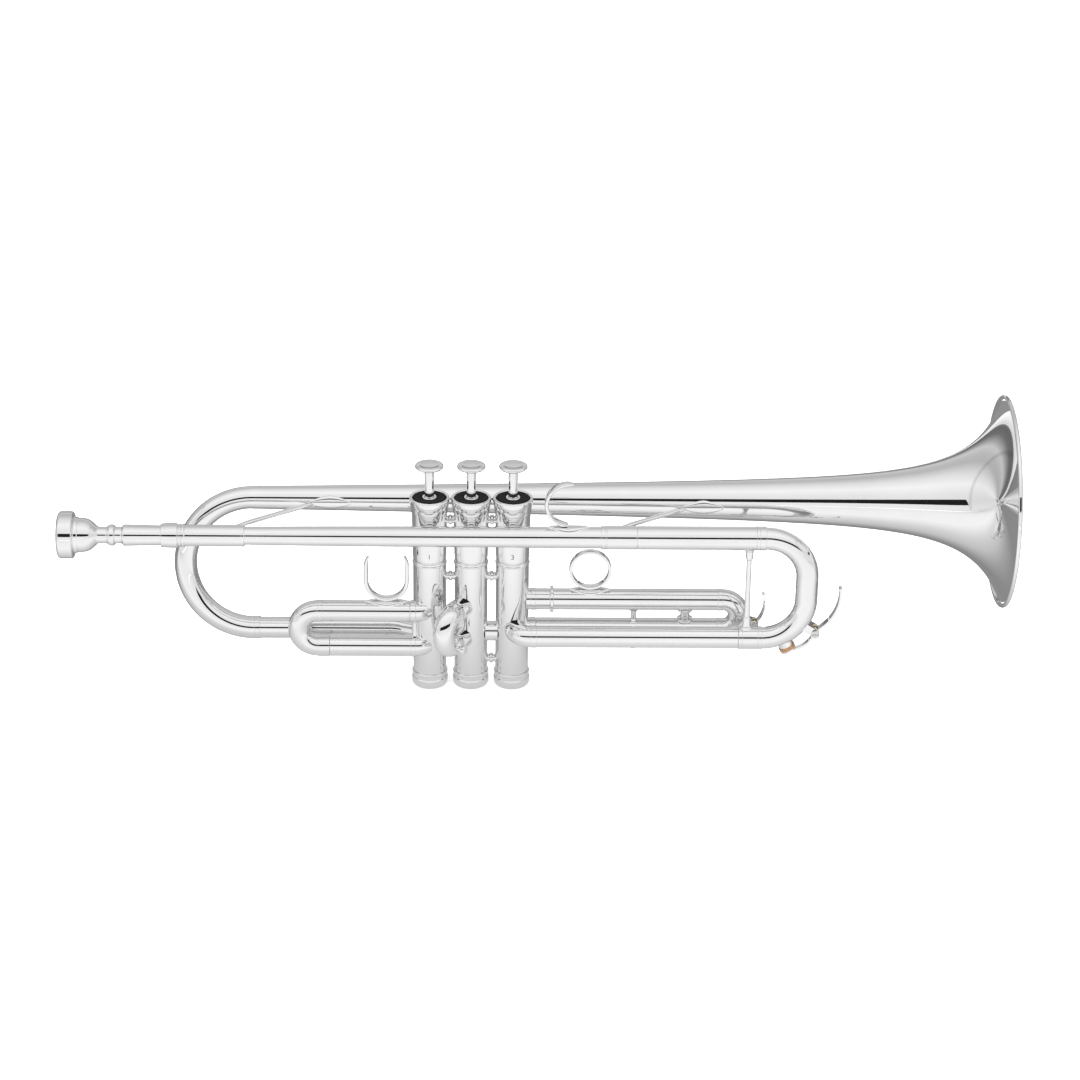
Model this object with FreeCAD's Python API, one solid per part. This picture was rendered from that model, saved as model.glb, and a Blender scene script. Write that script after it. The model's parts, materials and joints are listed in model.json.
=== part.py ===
import FreeCAD, Part
import math
import os
from FreeCAD import Vector as V

# B-flat trumpet.  Millimetres, +Z up, +X towards the bell, -Y towards the leadpipe side.
# The origin is the centre of the bottom face of the second valve's bottom cap.

os.makedirs("parts", exist_ok=True)

X_AXIS = V(1, 0, 0)
Y_AXIS = V(0, 1, 0)
Z_AXIS = V(0, 0, 1)
ORIGIN = V(0, 0, 0)

# --- fits -----------------------------------------------------------------------------
SLIDE_FIT = 0.05          # radial clearance of a slide tube in or over its mate
VALVE_FIT = 0.04          # radial clearance of a piston in its casing
PIN_FIT = 0.05            # radial clearance of a pivot pin
RUNNING_GAP = 0.3         # end gap between a closed slide and its stop
TUBE_WALL = 0.5           # wall of every drawn tube
LEAF_THICK = 0.9          # thickness of a leaf-shaped solder foot

# --- valve block ----------------------------------------------------------------------
PISTON_R = 8.4
CASING_WALL = 1.06
CASING_GAP = 4.75
CASING_BOTTOM_Z = 1.6
CASING_TOP_Z = 117.0
CASING_LIP = 1.5          # how far the casing ends below the plate of its top cap
BALUSTER_LENGTH = 36.9
BALUSTER_ROUND = 3.2
CAP_HEIGHT = 9.6
TOP_CAP_SKIRT = 6.6
TOP_CAP_RISE = 2.1
FELT_SEAT_DEPTH = 2.0
CAP_BOSS_R = 4.35
STEM_R = 2.75
STROKE = 16.5
PISTON_BOTTOM_Z = 20.0
PISTON_LENGTH = 48.0
BARREL_PLATE = 1.6
GUIDE_THICK = 2.4
GUIDE_WIDTH = 3.6
KEY_DEPTH = 0.6
BUMPER_THICK = 3.8
BUTTON_R = 8.15
BUTTON_THICK = 3.3
SPRING_WIRE_R = 0.4
SPRING_SIDE_GAP = 0.7
SPRING_TURNS = 7
TIE_R = 2.2
TIE_BEAD_R = 3.0
LOW_TIE_Z = 16.4
CROSSOVER_R = 5.8
CROSSOVER_12_Z = 42.0
CROSSOVER_23_Z = 34.0
CASING_R = PISTON_R + VALVE_FIT + CASING_WALL
VALVE_PITCH = 2 * CASING_R + CASING_GAP
VALVE_X = {1: -VALVE_PITCH, 2: 0.0, 3: VALVE_PITCH}
CASING_JOINT_Z = CASING_TOP_Z - BALUSTER_LENGTH
BALUSTER_LOW_R = CASING_R + 0.15
BALUSTER_TOP_R = CASING_R + 0.65
CAP_RIM_R = CASING_R + 0.85
CAP_NECK_R = CASING_R + 0.5
TOP_CAP_R = BALUSTER_TOP_R + 1.2
TOP_CAP_NECK_R = BALUSTER_TOP_R + 0.55
TOP_CAP_BOTTOM_Z = CASING_TOP_Z - TOP_CAP_SKIRT
TOP_CAP_Z = CASING_TOP_Z + TOP_CAP_RISE
FELT_R = TOP_CAP_R - 2.15
BARREL_R = PISTON_R - 1.0
BARREL_BORE_R = BARREL_R - 2 * TUBE_WALL
BARREL_TOP_Z = CASING_TOP_Z - CASING_LIP - BUMPER_THICK - RUNNING_GAP / 3
SPRING_COIL_R = BARREL_BORE_R - SPRING_WIRE_R - SPRING_SIDE_GAP
TIE_HEIGHTS = (LOW_TIE_Z, CASING_JOINT_Z - 10.7, CASING_TOP_Z - 12.0)

# --- leadpipe and mouthpiece ----------------------------------------------------------
LEAD_Y = -18.0
LEAD_Z = 102.4
LEAD_START_X = -148.0
LEAD_END_X = 158.0
LEAD_R = 6.15
LEAD_START_R = 4.85
FERRULE_START_X = 73.5
FERRULE_END_X = 93.8
FERRULE_R = LEAD_R + 0.6
RECEIVER_START_X = -174.6
RECEIVER_END_X = -127.6
RECEIVER_R = 6.1
RECEIVER_BULB_R = 7.1
RECEIVER_BEAD = 0.15
SHANK_END_X = -151.0
SHANK_END_R = 4.95
SHANK_R = 5.65
MOUTHPIECE_FIT = 0.05
RIM_FACE_X = -232.6
RIM_R = 13.4
CUP_EDGE_R = 8.4
CUP_DEPTH = 11.5
THROAT_R = 1.85

# --- bell -----------------------------------------------------------------------------
BELL_Y = 22.0
BELL_Z = 108.0
BELL_START_X = -125.8
BELL_RIM_X = 307.9
BELL_RIM_R = 61.5
BELL_WALL = 0.55
BELL_THROAT_R = 6.22
BELL_TAPER = 0.0122
FLARE_OFFSET = 36.38
FLARE_POWER = 1.883
FLARE_RISE = BELL_RIM_R - BELL_THROAT_R - BELL_TAPER * (BELL_RIM_X - BELL_START_X)
RIM_WIRE_R = 1.3
TAIL_Y = 9.0
TAIL_Z = 30.9
TAIL_R = 6.2
TAIL_ANGLE = 25.0
TAIL_BEND_R = 22.0
TAIL_FERRULE_X = VALVE_X[1] - CASING_R - 13.75

# --- main tuning slide ----------------------------------------------------------------
MAIN_LOW_Z = 39.6
MAIN_TUBE_R = LEAD_R + SLIDE_FIT + TUBE_WALL
MAIN_BOW_R = LEAD_R + 0.2
MAIN_BOW_X = 167.0
MAIN_BOW_DROP = 13.8      # straight length between the two bends of the bow
MAIN_BEND_R = (LEAD_Z - MAIN_LOW_Z - MAIN_BOW_DROP) / 2
MAIN_SLEEVE_END_X = 153.0
MAIN_LEG_END_X = 84.0
MAIN_FERRULE_LENGTH = 5.6
SLEEVE_ENTRY_X = VALVE_X[3] + 1.75
SLEEVE_BEND_R = 9.0
BRACE_X = 157.9
BRACE_ROD_R = 1.45

# --- first valve slide ----------------------------------------------------------------
FIRST_Y = -7.0
FIRST_UP_Z = 49.9
FIRST_LOW_Z = 27.6
SLIDE_R = 6.15
FIRST_KNUCKLE_X = VALVE_X[1] - CASING_R - 1.55
FIRST_TIE_X = FIRST_KNUCKLE_X + 2.6
FIRST_LOW_END_X = FIRST_KNUCKLE_X - 46.2
FIRST_BOW_X = FIRST_LOW_END_X - 7.0
FIRST_BOW_R = SLIDE_R - 0.05
FIRST_LEG = 36.0

# --- second valve slide ---------------------------------------------------------------
SECOND_ANGLE = 32.0
SECOND_UP_Z = 53.0
SECOND_LOW_Z = 33.0
SECOND_SLEEVE_END = CASING_R + 8.1
SECOND_BOW_START = SECOND_SLEEVE_END + 1.6

# --- third valve slide ----------------------------------------------------------------
THIRD_UP_Z = 54.7
THIRD_LOW_Z = 35.9
THIRD_KNUCKLE_X = VALVE_X[3] + CASING_R + 4.15
THIRD_DISC_X = THIRD_KNUCKLE_X + 8.0
THIRD_BOW_X = THIRD_DISC_X + 99.8
THIRD_INNER_END_X = THIRD_BOW_X - 23.2
THIRD_POST_X = THIRD_DISC_X + 48.6
THIRD_NUT_X = THIRD_DISC_X + 78.3

# --- finger hooks and ring ------------------------------------------------------------
RING_X = THIRD_DISC_X + 23.1
RING_OUT_R = 12.15
RING_IN_R = 10.35
RING_WIDTH = 4.8
SADDLE_X = FIRST_KNUCKLE_X - 13.5
SADDLE_R = 11.7
SADDLE_RISE = 8.5
SADDLE_THICK = 2.2
SADDLE_WIDTH = 5.0
HOOK_X = 55.0
HOOK_R = 12.5
HOOK_THICK = 1.8
HOOK_WIDTH = 6.0

# --- water keys -----------------------------------------------------------------------
KEY_NIPPLE_R = 4.3
KEY_NIPPLE_RISE = 1.8
KEY_CORK_R = 4.7
KEY_CORK_THICK = 2.0
KEY_CUP_THICK = 1.4
KEY_BORE_R = 1.5
KEY_PIN_R = 1.0
KEY_BARREL_R = 2.1
KEY_HALF_WIDTH = 3.4
KEY_LUG = 1.3
KEY_PLATE = 1.3
KEY_ARM_WIDTH = 3.2
KEY_BLADE_WIDTH = 4.6
KEY_WIRE_R = 0.35
KEY_COIL_SPACE = 1.4
KEY_COIL_START = 0.3
KEY_COIL_END = 2.9
MAIN_KEY = dict(nipple=26.0, pivot=56.6, lift=5.4, tip=(13.5, 26.8), sag=4.4, size=1.0)
THIRD_KEY = dict(nipple=22.0, pivot=74.0, lift=5.4, tip=(4.5, 18.5), sag=2.6, size=0.8)

# --- diagonal braces ------------------------------------------------------------------
BRACE_WIDTH = 3.0
BRACE_DEPTH = 2.2
BRACE_LEAD_RISE = 5.0
BRACE_BELL_DROP = 0.6
FRONT_BRACE_X = (84.5, 124.0)
REAR_BRACE_X = (-132.0, -90.0)
BRACE_LEAF = 26.0

INNER_R = SLIDE_R - TUBE_WALL - SLIDE_FIT
BUTTON_Z = TOP_CAP_Z + STROKE + RUNNING_GAP
CAP_PLATE_Z = TOP_CAP_Z - FELT_SEAT_DEPTH
PISTON_TOP_Z = PISTON_BOTTOM_Z + PISTON_LENGTH
GUIDE_Z = PISTON_TOP_Z + STROKE * 0.1 + 1.0
PORT_R = INNER_R - 0.3
MAIN_SLEEVE_R = SLIDE_R


def save(shape, name):
    """Write one named sub-part."""
    shape.exportStep("parts/" + name + ".step")


def join(shapes):
    """Fuse a list of solids that share faces or overlap."""
    first, rest = shapes[0], shapes[1:]
    return first.multiFuse(rest).removeSplitter() if rest else first


def pipe(outer, inner, length, start, direction):
    """A straight tube."""
    body = Part.makeCylinder(outer, length, start, direction)
    return body.cut(Part.makeCylinder(inner, length, start, direction))


def turned(points, start, direction):
    """Revolve a closed outline of (distance along, radius) points about a line."""
    side = direction.cross(Z_AXIS if abs(direction.z) < 0.9 else X_AXIS)
    side.normalize()
    outline = [start + direction * a + side * r for a, r in points]
    face = Part.Face(Part.makePolygon(outline + outline[:1]))
    return face.revolve(start, direction, 360)


def sweep_path(start, direction, steps, outer, inner):
    """A tube along straight runs ("run", length) and bends ("bend", radius, degrees, axis)."""
    at = V(start)
    heading = V(direction)
    heading.normalize()
    pieces = []
    for step in steps:
        discs = [Part.Face(Part.Wire(Part.makeCircle(r, at, heading))) for r in (outer, inner)]
        face = discs[0].cut(discs[1]).Faces[0]
        if step[0] == "run":
            pieces.append(face.extrude(heading * step[1]))
            at = at + heading * step[1]
        else:
            radius, degrees, axis = step[1:]
            centre = at - heading.cross(axis) * radius
            pieces.append(face.revolve(centre, axis, degrees))
            turn = FreeCAD.Rotation(axis, degrees)
            at = centre + turn.multVec(at - centre)
            heading = turn.multVec(heading)
    return join(pieces)


def casing_core(number, radius=CASING_R):
    """The solid outer cylinder of a casing, which tubes are seated against."""
    return Part.makeCylinder(radius, CASING_TOP_Z, V(VALVE_X[number], 0, 0), Z_AXIS)


def leaf(at, along, facing, tube_r, length, width, thick=LEAF_THICK):
    """A pointed solder foot wrapped on a tube, on the side that faces outwards."""
    across = along.cross(facing)
    tips = [at + along * (length / 2), at - along * (length / 2)]
    mids = [at + across * (width / 2), at - across * (width / 2)]
    edges = [Part.Arc(tips[0], mids[0], tips[1]).toShape(),
             Part.Arc(tips[1], mids[1], tips[0]).toShape()]
    reach = tube_r + thick
    prism = Part.Face(Part.Wire(edges)).extrude(facing * reach)
    shell = pipe(reach, tube_r, length, at - along * (length / 2), along)
    return prism.common(shell)


def ring_bead(radius, bead, at, direction):
    """A round bead that runs round a tube."""
    return Part.makeTorus(radius, bead, at, direction)


# --- valves ---------------------------------------------------------------------------

def port_bores(number):
    """The bores of the tubes that open into one casing."""
    x = VALVE_X[number]
    second = V(-math.sin(math.radians(SECOND_ANGLE)), -math.cos(math.radians(SECOND_ANGLE)), 0)
    tail = math.radians(TAIL_ANGLE)
    lists = {
        1: [(V(x, FIRST_Y, FIRST_UP_Z), -X_AXIS), (V(x, FIRST_Y, FIRST_LOW_Z), -X_AXIS),
            (V(x, 0, CROSSOVER_12_Z), X_AXIS),
            (V(x, 0, TAIL_Z), V(-math.cos(tail), math.sin(tail), 0))],
        2: [(V(x, 0, SECOND_UP_Z), second), (V(x, 0, SECOND_LOW_Z), second),
            (V(x, 0, CROSSOVER_12_Z), -X_AXIS), (V(x, 0, CROSSOVER_23_Z), X_AXIS)],
        3: [(V(x, 0, THIRD_UP_Z), X_AXIS), (V(x, 0, THIRD_LOW_Z), X_AXIS),
            (V(x, 0, CROSSOVER_23_Z), -X_AXIS), (V(SLEEVE_ENTRY_X, 0, MAIN_LOW_Z), -Y_AXIS)],
    }
    reach = CASING_R * 1.5
    return [Part.makeCylinder(PORT_R, reach, at, way) for at, way in lists[number]]


def make_casing(number):
    """Lower casing tube with its ports, and the baluster brazed on top of it."""
    at = V(VALVE_X[number], 0, 0)
    bore = PISTON_R + VALVE_FIT
    height = CASING_JOINT_Z - CASING_BOTTOM_Z
    lower = pipe(CASING_R, bore, height, at + Z_AXIS * CASING_BOTTOM_Z, Z_AXIS)
    bead = ring_bead(CASING_R, 0.45, at + Z_AXIS * (CASING_JOINT_Z - 1.6), Z_AXIS)
    bead = bead.cut(Part.makeCylinder(CASING_R - 0.2, CASING_TOP_Z, at, Z_AXIS))
    lower = join([lower, bead])
    for port in port_bores(number):
        lower = lower.cut(port)
    round_z = CASING_JOINT_Z + BALUSTER_ROUND
    upper = turned([(CASING_JOINT_Z, bore), (CASING_JOINT_Z, CASING_R - 0.4),
                    (round_z - 1.6, BALUSTER_LOW_R - 0.15), (round_z, BALUSTER_LOW_R),
                    (TOP_CAP_BOTTOM_Z, BALUSTER_TOP_R), (CASING_TOP_Z - CASING_LIP, BALUSTER_TOP_R),
                    (CASING_TOP_Z - CASING_LIP, bore)], at, Z_AXIS)
    key_length = 2 * (bore + KEY_DEPTH)
    keyway = Part.makeBox(key_length, GUIDE_WIDTH, CASING_TOP_Z - GUIDE_Z,
                          at + V(-key_length / 2, -GUIDE_WIDTH / 2, GUIDE_Z))
    save(join([lower, upper]).cut(keyway), "valve_casing_%d" % number)


def make_bottom_cap(number):
    """Screw cap that closes the casing, with a rounded rim."""
    at = V(VALVE_X[number], 0, 0)
    inner = CASING_R + 0.02
    cap = turned([(0, 0), (0, CAP_RIM_R - 2.2), (0.5, CAP_RIM_R - 0.9), (1.6, CAP_RIM_R - 0.1),
                  (2.6, CAP_RIM_R), (5.2, CAP_RIM_R), (6.4, CAP_NECK_R), (8.2, CAP_NECK_R - 0.1),
                  (8.8, CAP_RIM_R - 0.1), (CAP_HEIGHT, CAP_RIM_R - 0.25), (CAP_HEIGHT, inner),
                  (CASING_BOTTOM_Z, inner), (CASING_BOTTOM_Z, 0)], at, Z_AXIS)
    save(cap, "bottom_cap_%d" % number)


def make_top_cap(number):
    """Screw cap with a felt recess and a boss that guides the stem."""
    at = V(VALVE_X[number], 0, 0)
    skirt = BALUSTER_TOP_R + 0.02
    hole = STEM_R + 0.15
    under = CASING_TOP_Z - CASING_LIP
    cap = turned([(TOP_CAP_BOTTOM_Z, skirt), (TOP_CAP_BOTTOM_Z, TOP_CAP_NECK_R),
                  (TOP_CAP_BOTTOM_Z + 3.0, TOP_CAP_NECK_R + 0.1), (TOP_CAP_BOTTOM_Z + 4.6, TOP_CAP_R - 0.25),
                  (TOP_CAP_Z - 1.2, TOP_CAP_R), (TOP_CAP_Z - 0.4, TOP_CAP_R - 0.15),
                  (TOP_CAP_Z, TOP_CAP_R - 0.7), (TOP_CAP_Z, FELT_R + 0.9), (CAP_PLATE_Z, FELT_R + 0.1),
                  (CAP_PLATE_Z, CAP_BOSS_R), (TOP_CAP_Z + 0.2, CAP_BOSS_R - 0.2), (TOP_CAP_Z + 0.2, hole),
                  (under, hole), (under, skirt)], at, Z_AXIS)
    save(cap, "top_cap_%d" % number)
    return pipe(FELT_R, CAP_BOSS_R + 0.05, FELT_SEAT_DEPTH, at + Z_AXIS * CAP_PLATE_Z, Z_AXIS)


def valve_guide(number):
    """Keyed cross bar that stops the piston turning."""
    at = V(VALVE_X[number], 0, GUIDE_Z)
    length = 2 * (PISTON_R + VALVE_FIT + KEY_DEPTH)
    bar = Part.makeBox(length, GUIDE_WIDTH - 0.2, GUIDE_THICK, at + V(-length / 2, 0.1 - GUIDE_WIDTH / 2, 0))
    disc = Part.makeCylinder(BARREL_BORE_R - 0.2, GUIDE_THICK, at, Z_AXIS)
    return join([bar, disc])


def piston_ports(number):
    """Directions and heights of the passages through a piston."""
    return [(30.0 * number, 28.0), (30.0 * number + 55, 41.0), (30.0 * number + 110, 54.0)]


def make_piston(number):
    """Ported piston with the slotted spring barrel brazed on its top."""
    at = V(VALVE_X[number], 0, 0)
    base = at + Z_AXIS * PISTON_BOTTOM_Z
    shell = Part.makeCylinder(PISTON_R, PISTON_LENGTH, base, Z_AXIS)
    hollow = Part.makeCylinder(PISTON_R - 1.2, PISTON_LENGTH - 3.0, base + Z_AXIS * 1.5, Z_AXIS)
    body = shell.cut(hollow)
    core = Part.makeCylinder(PISTON_R - 0.2, PISTON_LENGTH, base, Z_AXIS)
    for degrees, height in piston_ports(number):
        way = V(math.cos(math.radians(degrees)), math.sin(math.radians(degrees)), 0)
        start = at + V(0, 0, height) - way * (PISTON_R + 1)
        wall = Part.makeCylinder(PORT_R + 0.4, 2 * PISTON_R + 2, start, way).common(core)
        body = body.fuse(wall).cut(Part.makeCylinder(PORT_R - 0.2, 2 * PISTON_R + 2, start, way))
    vent = Part.makeCylinder(1.2, PISTON_LENGTH + 2, base - Z_AXIS, Z_AXIS)
    body = body.cut(vent)
    barrel = pipe(BARREL_R, BARREL_BORE_R, BARREL_TOP_Z - PISTON_TOP_Z, at + Z_AXIS * PISTON_TOP_Z, Z_AXIS)
    plate = pipe(BARREL_R, STEM_R, BARREL_PLATE, at + Z_AXIS * (BARREL_TOP_Z - BARREL_PLATE), Z_AXIS)
    slot_low = GUIDE_Z - 0.3
    slot = Part.makeBox(4 * BARREL_R, GUIDE_WIDTH + 0.2, GUIDE_THICK + STROKE + 1.0,
                        at + V(-2 * BARREL_R, -GUIDE_WIDTH / 2 - 0.1, slot_low))
    save(join([body, barrel.cut(slot), plate]), "piston_%d" % number)


def make_finger_set(number):
    """Stem, finger button and the felt bumper under the top cap."""
    at = V(VALVE_X[number], 0, 0)
    seat = BARREL_TOP_Z - BARREL_PLATE
    stem = Part.makeCylinder(STEM_R, BUTTON_Z + 1.0 - seat, at + Z_AXIS * seat, Z_AXIS)
    save(stem, "valve_stem_%d" % number)
    top = BUTTON_Z + BUTTON_THICK
    button = turned([(BUTTON_Z + 1.0, 0), (BUTTON_Z + 1.0, STEM_R), (BUTTON_Z, STEM_R), (BUTTON_Z, 5.2),
                     (BUTTON_Z + 0.5, 6.9), (BUTTON_Z + 1.3, BUTTON_R - 0.25), (BUTTON_Z + 2.0, BUTTON_R),
                     (BUTTON_Z + 2.7, BUTTON_R - 0.25), (top - 0.1, BUTTON_R - 1.0), (top, 6.2),
                     (top - 0.5, 4.6), (top - 0.7, 0)], at, Z_AXIS)
    save(button, "finger_button_%d" % number)
    bumper = pipe(BARREL_R - 0.8, STEM_R + 0.05, BUMPER_THICK, at + Z_AXIS * BARREL_TOP_Z, Z_AXIS)
    save(bumper, "stem_felt_%d" % number)


def make_spring(number):
    """Coil spring held between the guide and the top of the spring barrel."""
    low = GUIDE_Z + GUIDE_THICK + SPRING_WIRE_R + 0.05
    high = BARREL_TOP_Z - BARREL_PLATE - SPRING_WIRE_R - 0.05
    height = high - low
    helix = Part.makeLongHelix(height / SPRING_TURNS, height, SPRING_COIL_R)
    wire = Part.Wire(Part.makeCircle(SPRING_WIRE_R, V(SPRING_COIL_R, 0, 0), Y_AXIS))
    coil = Part.Wire(helix.Edges).makePipeShell([wire], True, True)
    coil.translate(V(VALVE_X[number], 0, low))
    save(coil, "valve_spring_%d" % number)


def make_valves():
    """Every sub-part that the three valves repeat."""
    felts = []
    for number in VALVE_X:
        make_casing(number)
        make_bottom_cap(number)
        felts.append(make_top_cap(number))
        make_piston(number)
        make_finger_set(number)
        make_spring(number)
    save(Part.makeCompound(felts), "cap_felts")
    save(Part.makeCompound([valve_guide(number) for number in VALVE_X]), "valve_guides")


def make_block_fittings():
    """Turned ties and the crossover tubes between neighbouring casings."""
    ties = []
    for left, right in ((1, 2), (2, 3)):
        for height in TIE_HEIGHTS:
            if left == 1 and height == TIE_HEIGHTS[0]:
                continue
            middle = (VALVE_X[left] + VALVE_X[right]) / 2
            start = V(VALVE_X[left], 0, height)
            rod = Part.makeCylinder(TIE_R, VALVE_PITCH, start, X_AXIS)
            bead = Part.makeSphere(TIE_BEAD_R, V(middle, 0, height)).common(
                Part.makeBox(2.6, 4 * TIE_BEAD_R, 4 * TIE_BEAD_R,
                             V(middle - 1.3, -2 * TIE_BEAD_R, height - 2 * TIE_BEAD_R)))
            tie = join([rod, bead])
            outer = BALUSTER_TOP_R if height > CASING_JOINT_Z else CASING_R
            ties.append(tie.cut(casing_core(left, outer)).cut(casing_core(right, outer)))
    save(Part.makeCompound(ties), "casing_ties")
    tubes = []
    for left, height in ((1, CROSSOVER_12_Z), (2, CROSSOVER_23_Z)):
        start = V(VALVE_X[left], 0, height)
        tube = pipe(CROSSOVER_R, PORT_R, VALVE_PITCH, start, X_AXIS)
        tubes.append(tube.cut(casing_core(left)).cut(casing_core(left + 1)))
    save(Part.makeCompound(tubes), "crossover_tubes")


# --- leadpipe and mouthpiece ----------------------------------------------------------

def make_leadpipe():
    """Tapered leadpipe, its ferrule and the mouthpiece receiver."""
    at = V(0, LEAD_Y, LEAD_Z)
    stations = [(LEAD_START_X, LEAD_START_R), (-119.0, 5.25), (-96.0, 5.5), (-40.0, 5.85), (50.0, LEAD_R),
                (LEAD_END_X, LEAD_R)]
    inner = [(x, r - TUBE_WALL) for x, r in reversed(stations)]
    save(turned(stations + inner, at, X_AXIS), "leadpipe")
    ring = 0.12
    ferrule = turned([(FERRULE_START_X, LEAD_R), (FERRULE_START_X, FERRULE_R - ring),
                      (FERRULE_START_X + 0.4, FERRULE_R), (FERRULE_START_X + 2.0, FERRULE_R),
                      (FERRULE_START_X + 2.3, FERRULE_R - ring), (FERRULE_START_X + 2.6, FERRULE_R),
                      (FERRULE_END_X - 0.4, FERRULE_R), (FERRULE_END_X, FERRULE_R - ring),
                      (FERRULE_END_X, LEAD_R)], at, X_AXIS)
    save(ferrule, "leadpipe_ferrule")
    make_receiver(at)


def make_receiver(at):
    """Receiver with a bulb and two beads; it takes the mouthpiece shank."""
    start, end = RECEIVER_START_X, RECEIVER_END_X
    bulb = RECEIVER_BULB_R
    taper = (SHANK_R - SHANK_END_R) / (SHANK_END_X - start)
    seat = SHANK_R + MOUTHPIECE_FIT
    neck = LEAD_START_X - 1.0
    end_r = SHANK_R - taper * (neck - start) + MOUTHPIECE_FIT
    receiver = turned([(start, seat), (start, bulb - 0.5), (start + 0.6, bulb - 0.25),
                       (start + 3.0, bulb - 0.15), (start + 8.5, bulb), (start + 9.6, bulb - 0.3),
                       (start + 9.9, bulb - 0.9),
                       (start + 10.3, bulb - 0.3), (start + 11.2, bulb - 0.3), (start + 11.6, bulb - 0.9),
                       (start + 12.0, bulb - 0.4), (start + 13.2, bulb - 0.4), (start + 13.8, RECEIVER_R),
                       (end - 1.6, RECEIVER_R), (end - 1.4, RECEIVER_R + RECEIVER_BEAD),
                       (end - 0.3, RECEIVER_R + RECEIVER_BEAD), (end, RECEIVER_R - 0.2), (end, 5.18),
                       (-140.0, 4.98), (LEAD_START_X, LEAD_START_R + 0.02),
                       (LEAD_START_X, LEAD_START_R - TUBE_WALL), (neck, LEAD_START_R - TUBE_WALL),
                       (neck, end_r)], at, X_AXIS)
    save(receiver, "mouthpiece_receiver")


def make_mouthpiece():
    """Turned mouthpiece with its rim, cup, throat and tapered shank."""
    face = RIM_FACE_X
    y, z = LEAD_Y, LEAD_Z

    def at(x, r):
        return V(x, y + r, z)

    def curve(points):
        line = Part.BSplineCurve()
        line.interpolate([at(x, r) for x, r in points])
        return line.toShape()

    def straight(points):
        return [Part.makeLine(at(*a), at(*b)) for a, b in zip(points, points[1:])]

    shank_start = RECEIVER_START_X
    rim = curve([(face + 1.6, CUP_EDGE_R), (face + 0.5, CUP_EDGE_R + 0.9), (face, CUP_EDGE_R + 2.4),
                 (face + 0.6, RIM_R - 1.0), (face + 2.0, RIM_R)])
    outside = straight([(face + 2.0, RIM_R), (face + 5.2, RIM_R), (face + 6.2, RIM_R - 0.2),
                        (face + 9.2, RIM_R - 2.2), (face + 10.2, 10.0), (face + 12.4, 9.85)])
    cup = curve([(face + 12.4, 9.85), (face + 17.5, 8.95), (face + 22.5, 6.9), (face + 27.4, 5.2)])
    shank = straight([(face + 27.4, 5.2), (face + 28.4, 5.1), (face + 29.2, 5.9), (face + 31.4, 5.9),
                      (face + 32.2, 5.0), (face + 36.6, 5.0), (face + 37.0, 6.1), (shank_start, SHANK_R),
                      (SHANK_END_X, SHANK_END_R), (SHANK_END_X, 4.1), (face + CUP_DEPTH + 14.0, THROAT_R),
                      (face + CUP_DEPTH + 2.0, THROAT_R)])
    bowl = curve([(face + CUP_DEPTH + 2.0, THROAT_R), (face + CUP_DEPTH - 0.6, 3.4),
                  (face + 7.6, 6.8), (face + 1.6, CUP_EDGE_R)])
    profile = Part.Wire([rim] + outside + [cup] + shank + [bowl])
    save(Part.Face(profile).revolve(V(0, y, z), X_AXIS, 360), "mouthpiece")


# --- bell -----------------------------------------------------------------------------

def bell_radius(x):
    """Outer radius of the bell at one place along its length."""
    flare = FLARE_RISE * (FLARE_OFFSET / (BELL_RIM_X - x + FLARE_OFFSET)) ** FLARE_POWER
    return BELL_THROAT_R + BELL_TAPER * (x - BELL_START_X) + flare


def bell_outline(offset):
    """Points on the bell's outside, moved inwards along its normal by an offset."""
    end = BELL_RIM_X - RIM_WIRE_R
    length = end - BELL_START_X
    points = []
    count = 22
    for step in range(count + 1):
        share = 1 - (1 - step / count) ** 2.2
        x = BELL_START_X + length * share
        slope = (bell_radius(x + 0.01) - bell_radius(x - 0.01)) / 0.02
        lean = math.atan(slope) if step else 0.0
        reach = bell_radius(x) - offset * math.cos(lean)
        points.append(V(x + offset * math.sin(lean), BELL_Y + reach, BELL_Z))
    return points


def make_bell():
    """Flare, the wire in its rim, and the bow that leads to the first valve."""
    outer = Part.BSplineCurve()
    outer.interpolate(bell_outline(0.0))
    inner = Part.BSplineCurve()
    inner.interpolate(bell_outline(BELL_WALL))
    ends = [Part.makeLine(inner.StartPoint, outer.StartPoint), Part.makeLine(outer.EndPoint, inner.EndPoint)]
    profile = Part.Wire([ends[0], outer.toShape(), ends[1], inner.toShape()])
    wire_at = V(BELL_RIM_X - RIM_WIRE_R, BELL_Y, BELL_Z)
    rim_wire = Part.makeTorus(BELL_RIM_R - RIM_WIRE_R, RIM_WIRE_R, wire_at, X_AXIS)
    flare = Part.Face(profile).revolve(V(0, BELL_Y, BELL_Z), X_AXIS, 360)
    save(flare.cut(rim_wire), "bell_flare")
    save(rim_wire, "bell_rim_wire")
    make_bell_bow()


def make_bell_bow():
    """Half-circle bow and the straight tail that enters the first casing."""
    top = V(BELL_START_X, BELL_Y, BELL_Z)
    drop = V(0, TAIL_Y - BELL_Y, TAIL_Z - BELL_Z)
    radius = drop.Length / 2
    axis = X_AXIS.negative().cross(drop)
    axis.normalize()
    bow_r = bell_radius(BELL_START_X)
    bow = sweep_path(top, X_AXIS.negative(), [("bend", radius, 180, axis)], bow_r, bow_r - TUBE_WALL)
    foot = top + drop
    bend = [("run", TAIL_FERRULE_X - BELL_START_X), ("bend", TAIL_BEND_R, TAIL_ANGLE, Z_AXIS.negative()),
            ("run", CASING_R + 1.5)]
    tail = sweep_path(foot, X_AXIS, bend, TAIL_R, TAIL_R - TUBE_WALL)
    ring = pipe(TAIL_R + 0.25, TAIL_R - TUBE_WALL, 3.4, V(TAIL_FERRULE_X, TAIL_Y, TAIL_Z), X_AXIS.negative())
    save(join([bow, tail, ring]).cut(casing_core(1)), "bell_bow")


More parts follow.
